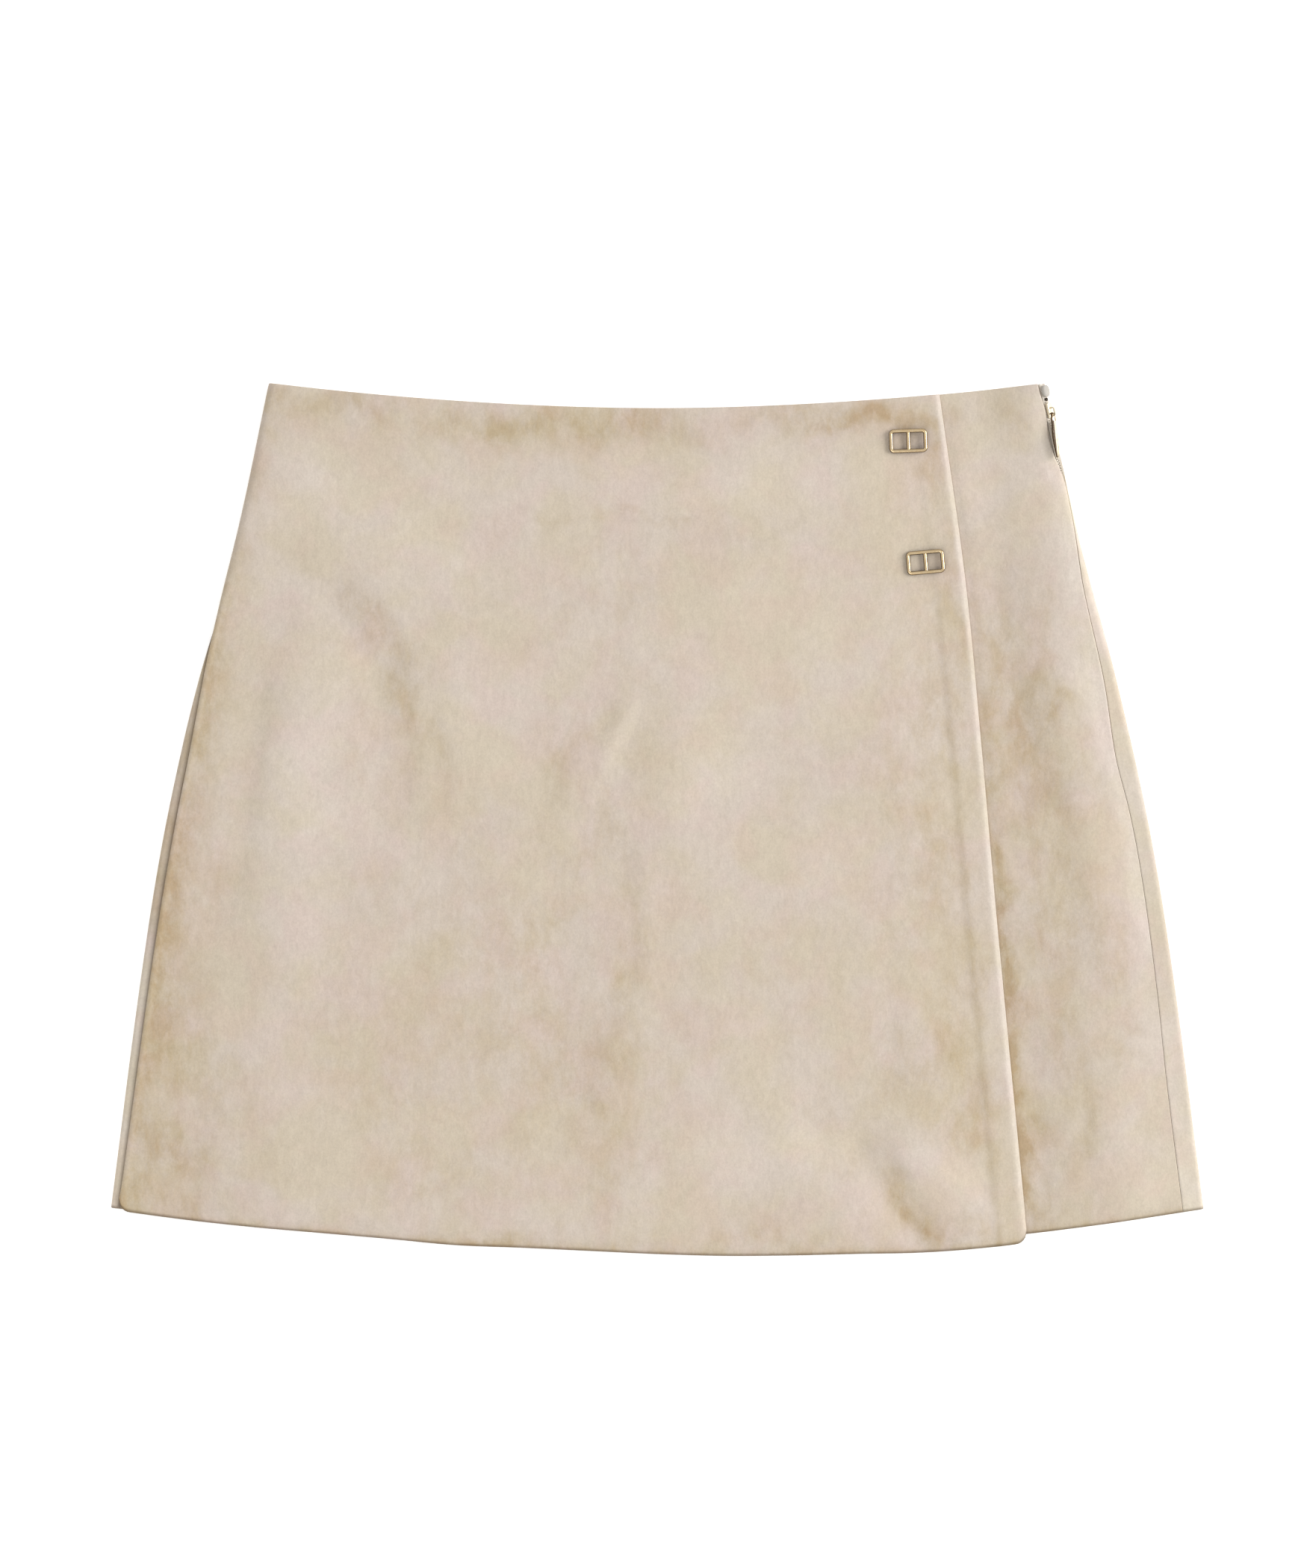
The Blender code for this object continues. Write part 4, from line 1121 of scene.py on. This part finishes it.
def zip_coil(material):
    """The nylon coil on the tape: short rods across it, one at each turn. Where the zip is open,
    above the slider, there are two rows of them."""
    shapes = []
    for k in range(COIL_TURNS):
        drop = COIL_FROM + k * COIL_STEP
        middle, axes = zip_axes(drop)
        spread = COIL_SPREAD * (1.0 - min(1.0, drop / SLIDER_TOP))
        for side in (-1,) if drop > SLIDER_TOP else (-1, 1):
            start = middle + axes @ Vector((side * spread - COIL_HALF, 0, COIL_OUT))
            rings = []
            for share, size in COIL_ROD:
                spot = start + axes.col[0] * (2 * COIL_HALF * share)
                circle = ring(COIL_RADIUS * size, COIL_ROUND)
                rings.append([spot + axes.col[1] * a + axes.col[2] * b for a, b in circle])
            shapes.append(lofted(rings))
    return mesh_object("zip_coil", *joined(*shapes), material)


# ---- Colours and their ranges ----
SUEDE = (0.557, 0.481, 0.411)
# The nap tints below carry both the nap's lie and painted shade and painted light.
DARK_NAP_AND_SHADE = (0.853, 0.805, 0.690)  # the tints multiply the suede's colour
DEEP_NAP_AND_SHADE = (0.900, 0.842, 0.750)
PALE_NAP_AND_LIGHT = (1.160, 1.187, 1.212)
# Painted light: the lighter tint of the back legs, where they come round the sides.
STRIP_PAINTED_LIGHT = (1.220, 1.270, 1.265)
SHADE = (0.31, 0.27, 0.235)
OLIVE = (0.975, 0.972, 0.890)
ROSY = (1.010, 0.972, 0.990)
PLAIN = (1.0, 1.0, 1.0)
GOLD = (0.88, 0.68, 0.42)
PULL_GOLD = (0.95, 0.85, 0.67)
GOLD_RUBBED = (0.88, 0.85, 0.78)  # these two multiply the metal's colour
# Painted shade and painted dark reflections, for the metal's marked parts.
GOLD_PAINTED_DARK = (0.10, 0.07, 0.05)
# Painted shade for the hole at the top of the zip.
STOP_HOLE_SHADE = (0.05, 0.04, 0.03)
TAPE = (0.72, 0.66, 0.58)
TAPE_WORN = (0.84, 0.83, 0.80)  # multiplies the tape's colour
TAPE_END = (0.47, 0.44, 0.40)
COIL = (0.60, 0.54, 0.46)
FLOOR_TONES = ((0.95, 0.95, 0.95), (0.965, 0.965, 0.965))
WHITE = (1.0, 1.0, 1.0, 1.0)

# How each panel's mottling is moved from the wrap's, in metres.
LEGS_MOTTLING = (3.1, 1.7, 0.6)
BACK_MOTTLING = (1.9, 0.4, 2.2)

# Stretches of the noise that count, and the values at their two ends.
NOISE = (0.3, 0.7)  # nearly all of it
RAGGED_STRENGTH = (0.34, 0.66, 0.60, 1.38)  # shares of a mark's strength
RAGGED_LIE = (*NOISE, -0.13, 0.13)
CLOUDS_LIE = (0.34, 0.66, -0.14, 0.14)
# The deepest tint is where the marks are strongest, partly painted shade.
DEEP_LIE = (0.9, 1.7)  # a stretch of the nap's lie instead, for DEEP_NAP_AND_SHADE
OLIVE_FROM = (0.36, 0.64)
ROSY_FROM = (0.42, 0.66)
SPECKS_TONE = (*NOISE, -0.03, 0.03)
GRAIN_TONE = (*NOISE, -0.035, 0.035)
FIBRES_TONE = (*NOISE, 0.97, 1.03)
FIBRES_HIGH = 0.8  # height of the fibres, as a share of the grain's
BRUSH = (1.0, 0.55, 1.0)  # marks of the brush are long down the cloth
STROKES = {"Scale": (1.0, 0.5, 1.0), "Rotation": (0, 0, 0.3)}
WEAVE = 1.1  # millimetres between the lines of the tape's weave
RUBBED_DULL = 0.14  # how much duller the metal is where it is rubbed


# ---- Materials ----
def fill(tree, node, inputs):
    """Gives values or links to a node's inputs."""
    for name, value in inputs.items():
        if isinstance(value, bpy.types.NodeSocket):
            tree.links.new(value, node.inputs[name])
        else:
            node.inputs[name].default_value = value


def add(tree, kind, inputs=None, **settings):
    """A new node, with its settings and its inputs."""
    made = tree.nodes.new(kind)
    for name, value in settings.items():
        setattr(made, name, value)
    fill(tree, made, inputs or {})
    return made


def new_material(name):
    """A material, its nodes, its shader and the place on the object."""
    made = bpy.data.materials.new(name)
    made.use_nodes = True
    tree = made.node_tree
    place = add(tree, "ShaderNodeTexCoord").outputs["Object"]
    return made, tree, tree.nodes["Principled BSDF"], place


def mark_on(tree, name):
    return add(tree, "ShaderNodeAttribute", attribute_name=name).outputs["Fac"]


def mapped(tree, vector, **how):
    return add(tree, "ShaderNodeMapping", {"Vector": vector, **how}).outputs[0]


def moved(tree, vector, amount):
    return mapped(tree, vector, Location=(amount, -amount, amount))


def noise(tree, vector, size, detail=3.0, roughness=0.5, distortion=0.0):
    """Noise whose main blotches are about size millimetres across."""
    inputs = {"Vector": vector, "Scale": 1.0 / (size * MM), "Detail": detail}
    inputs.update({"Roughness": roughness, "Distortion": distortion})
    return add(tree, "ShaderNodeTexNoise", inputs).outputs["Fac"]


def ranged(tree, value, low, high, to_low=0.0, to_high=1.0):
    """The value from low to high as a smooth step from to_low to to_high."""
    inputs = {"Value": value, "From Min": low, "From Max": high, "To Min": to_low, "To Max": to_high}
    return add(tree, "ShaderNodeMapRange", inputs, interpolation_type="SMOOTHSTEP").outputs[0]


def maths(tree, operation, a, b):
    return add(tree, "ShaderNodeMath", {0: a, 1: b}, operation=operation).outputs[0]


def clamped(tree, value):
    return add(tree, "ShaderNodeClamp", {"Value": value}).outputs[0]


def blend_colour(tree, factor, a, b, how="MIX"):
    a, b = ((*colour, 1.0) if isinstance(colour, tuple) else colour for colour in (a, b))
    inputs = {0: factor, 6: a, 7: b}
    return add(tree, "ShaderNodeMix", inputs, data_type="RGBA", blend_type=how).outputs[2]


def times(colour, tint):
    return tuple(part * share for part, share in zip(colour, tint))


def bumped(tree, height, strength, distance):
    """Normals that show a fine relief, whose height is at most that distance in metres."""
    inputs = {"Height": height, "Strength": strength, "Distance": distance}
    return add(tree, "ShaderNodeBump", inputs).outputs[0]


def suede(name, offset, nap_pale=PALE_NAP_AND_LIGHT):
    """Brushed suede cloth. offset moves its mottling, so that each panel has its own."""
    made, tree, shader, place = new_material(name)
    place = mapped(tree, place, Location=offset)
    brush = mapped(tree, place, Scale=BRUSH)
    strokes = mapped(tree, place, **STROKES)
    ragged = noise(tree, brush, 9.0, detail=6.0, roughness=0.68, distortion=0.25)
    clouds = noise(tree, moved(tree, brush, 0.7), 34.0, detail=6.0, roughness=0.62, distortion=0.4)
    olive = noise(tree, moved(tree, place, 1.3), 30.0, detail=5.0, distortion=0.3)
    rosy = noise(tree, moved(tree, place, 2.9), 18.0, distortion=0.3)
    specks = noise(tree, brush, 2.6, roughness=0.6)
    grain = noise(tree, place, 1.0, roughness=0.65)
    fibres = noise(tree, strokes, 1.8, detail=4.0, roughness=0.6, distortion=1.2)

    # The marks darken and lighten the colour: partly the nap's lie, partly painted shade and painted
    # light.
    marked = maths(tree, "MULTIPLY", mark_on(tree, "nap"), ranged(tree, ragged, *RAGGED_STRENGTH))
    uneven = maths(tree, "ADD", ranged(tree, ragged, *RAGGED_LIE), ranged(tree, clouds, *CLOUDS_LIE))
    lie_and_light = maths(tree, "ADD", marked, uneven)
    pale = clamped(tree, maths(tree, "MULTIPLY", lie_and_light, -1.0))
    colour = blend_colour(tree, clamped(tree, lie_and_light), SUEDE, times(SUEDE, DARK_NAP_AND_SHADE))
    colour = blend_colour(tree, pale, colour, times(SUEDE, nap_pale))
    fleck = maths(tree, "ADD", ranged(tree, specks, *SPECKS_TONE), ranged(tree, grain, *GRAIN_TONE))
    fleck = maths(tree, "ADD", fleck, ranged(tree, fibres, *FIBRES_TONE))
    for tint in (
        blend_colour(tree, ranged(tree, lie_and_light, *DEEP_LIE), PLAIN, DEEP_NAP_AND_SHADE),
        blend_colour(tree, ranged(tree, olive, *OLIVE_FROM), PLAIN, OLIVE),
        blend_colour(tree, ranged(tree, rosy, *ROSY_FROM), PLAIN, ROSY),
        add(tree, "ShaderNodeCombineColor", {0: fleck, 1: fleck, 2: fleck}).outputs[0],
        blend_colour(tree, mark_on(tree, "shade"), PLAIN, SHADE),
    ):
        colour = blend_colour(tree, 1.0, colour, tint, "MULTIPLY")

    height = maths(tree, "ADD", maths(tree, "MULTIPLY", fibres, FIBRES_HIGH), grain)
    fill(tree, shader, {
        "Base Color": colour,
        "Normal": bumped(tree, height, strength=0.22, distance=0.0004),
        "Roughness": 0.95,
        "Specular IOR Level": 0.12,
        "Sheen Weight": 0.18,
        "Sheen Roughness": 0.45,
        "Sheen Tint": (1.0, 0.95, 0.88, 1.0),
    })
    return made


def tape_cloth(name, pale):
    """Twill zip tape, or the nylon of its coil."""
    made, tree, shader, place = new_material(name)
    waves = {"Vector": place, "Scale": 1.0 / (WEAVE * MM), "Distortion": 1.5, "Detail": 2.0}
    weave = add(tree, "ShaderNodeTexWave", waves, bands_direction="DIAGONAL").outputs["Fac"]
    colour = blend_colour(tree, noise(tree, place, 1.6), times(pale, TAPE_WORN), pale)
    normal = bumped(tree, weave, strength=0.25, distance=0.00012)
    fill(tree, shader, {"Base Color": colour, "Normal": normal, "Roughness": 0.8})
    return made


def gold_metal(name, colour, dull):
    """Polished gold plating, rubbed faintly, with painted shade and dark reflections where marked."""
    made, tree, shader, place = new_material(name)
    rubbed = noise(tree, place, 2.5, detail=4.0, roughness=0.6)
    tone = blend_colour(tree, ranged(tree, rubbed, *NOISE), colour, times(colour, GOLD_RUBBED))
    fill(tree, shader, {
        "Base Color": blend_colour(tree, mark_on(tree, "painted_dark"), tone, times(colour, GOLD_PAINTED_DARK)),
        "Normal": bumped(tree, rubbed, strength=0.1, distance=0.0001),
        "Roughness": ranged(tree, rubbed, *NOISE, dull, dull + RUBBED_DULL),
        "Metallic": 1.0,
    })
    return made


def plain_floor(name):
    made, tree, shader, place = new_material(name)
    fill(tree, shader, {
        "Base Color": blend_colour(tree, noise(tree, place, 90.0), *FLOOR_TONES),
        "Roughness": 0.9,
        "Specular IOR Level": 0.1,
        "Emission Color": WHITE,
        "Emission Strength": FLOOR_GLOW,
    })
    return made


# ---- Stage, in metres ----
FRAME_HEIGHT = 0.7
FRAME_CENTRE = (-0.0037, 0.0162)
CAMERA_HEIGHT = 2.6
SENSOR = 36.0  # millimetres
WORLD_LIGHT = 0.66
FLOOR_GLOW = 0.35  # the floor's own light, as a light table has
FLOOR_REACH = 4.0
FLOOR_Z = -0.0003
LIGHTS = (
    # name, place, size, watts
    ("key", (3.73, 0.79, 2.2), 2.6, 153.0),
    ("fill", (-0.9, -1.6, 2.4), 2.0, 23.0),
)


def camera():
    data = bpy.data.cameras.new("camera")
    data.sensor_width = SENSOR
    data.lens = SENSOR * CAMERA_HEIGHT / FRAME_HEIGHT
    made = placed("camera", data)
    made.location = (*FRAME_CENTRE, CAMERA_HEIGHT)
    bpy.context.scene.camera = made


def soft_light(name, where, size, watts):
    data = bpy.data.lights.new(name, "AREA")
    data.shape = "SQUARE"
    data.size = size
    data.energy = watts
    made = placed(name, data)
    made.location = where
    made.rotation_euler = (-Vector(where)).to_track_quat("-Z", "Y").to_euler()


def stage():
    mesh = bpy.data.meshes.new("floor")
    signs = ((-1, -1), (1, -1), (1, 1), (-1, 1))
    corners = [(a * FLOOR_REACH, b * FLOOR_REACH, FLOOR_Z) for a, b in signs]
    mesh.from_pydata(corners, [], [(0, 1, 2, 3)])
    mesh.materials.append(plain_floor("floor"))
    placed("floor", mesh)
    world = bpy.data.worlds.new("studio")
    world.use_nodes = True
    background = world.node_tree.nodes["Background"]
    fill(world.node_tree, background, {"Color": WHITE, "Strength": WORLD_LIGHT})
    bpy.context.scene.world = world
    for light in LIGHTS:
        soft_light(*light)
    bpy.context.scene.view_settings.view_transform = "Standard"


# ---- The skort ----
def dress(piece, body, slot, *nodes):
    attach(piece, body)
    if nodes:
        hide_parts(*nodes)
    return piece


def skort():
    wrap = dress(wrap_panel(suede("suede_wrap", (0.0, 0.0, 0.0))), "garment", "suede", "wrap_front")
    legs = suede("suede_legs", LEGS_MOTTLING)
    # The back legs' suede has the lighter tint of painted light.
    back = suede("suede_back_painted_light", BACK_MOTTLING, STRIP_PAINTED_LIGHT)
    for side, word in ((-1, "left"), (1, "right")):
        for layer, make, cloth in (("front", front_leg, legs), ("back", back_leg, back)):
            piece = make(f"{layer}_{word}_cloth", side, cloth)
            dress(piece, "garment", "suede", f"{layer}_{word}")
    tape = dress(zip_tape(tape_cloth("tape", TAPE)), "garment", "zip_tape", "zip_tape")
    gold = gold_metal("gold", GOLD, dull=0.16)
    for name, turn in SLIDES:
        dress(slide(name, turn, gold), "garment", "gold_metal", name)
    pale_gold = gold_metal("pale_gold", PULL_GOLD, dull=0.2)
    dress(zip_pull(pale_gold), "pull", "gold_metal", "zip_pull")
    for material_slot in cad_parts["zip_slider"].material_slots:
        material_slot.material = pale_gold
    dress(zip_coil(tape_cloth("coil", COIL)), "garment", "zip_tape")
    folded_end = pad("zip_tape_end", *TAPE_END_PAD, tape_cloth("tape_end", TAPE_END))
    dress(folded_end, "garment", "zip_tape")
    # A near-black pad of painted shade, where the hole at the top of the zip shows.
    stop_shade = pad("zip_stop_shade", *STOP_SHADE_PAD, gold_metal("stop_hole_shade", STOP_HOLE_SHADE, dull=0.3))
    dress(stop_shade, "garment", "gold_metal")


camera()
stage()
skort()
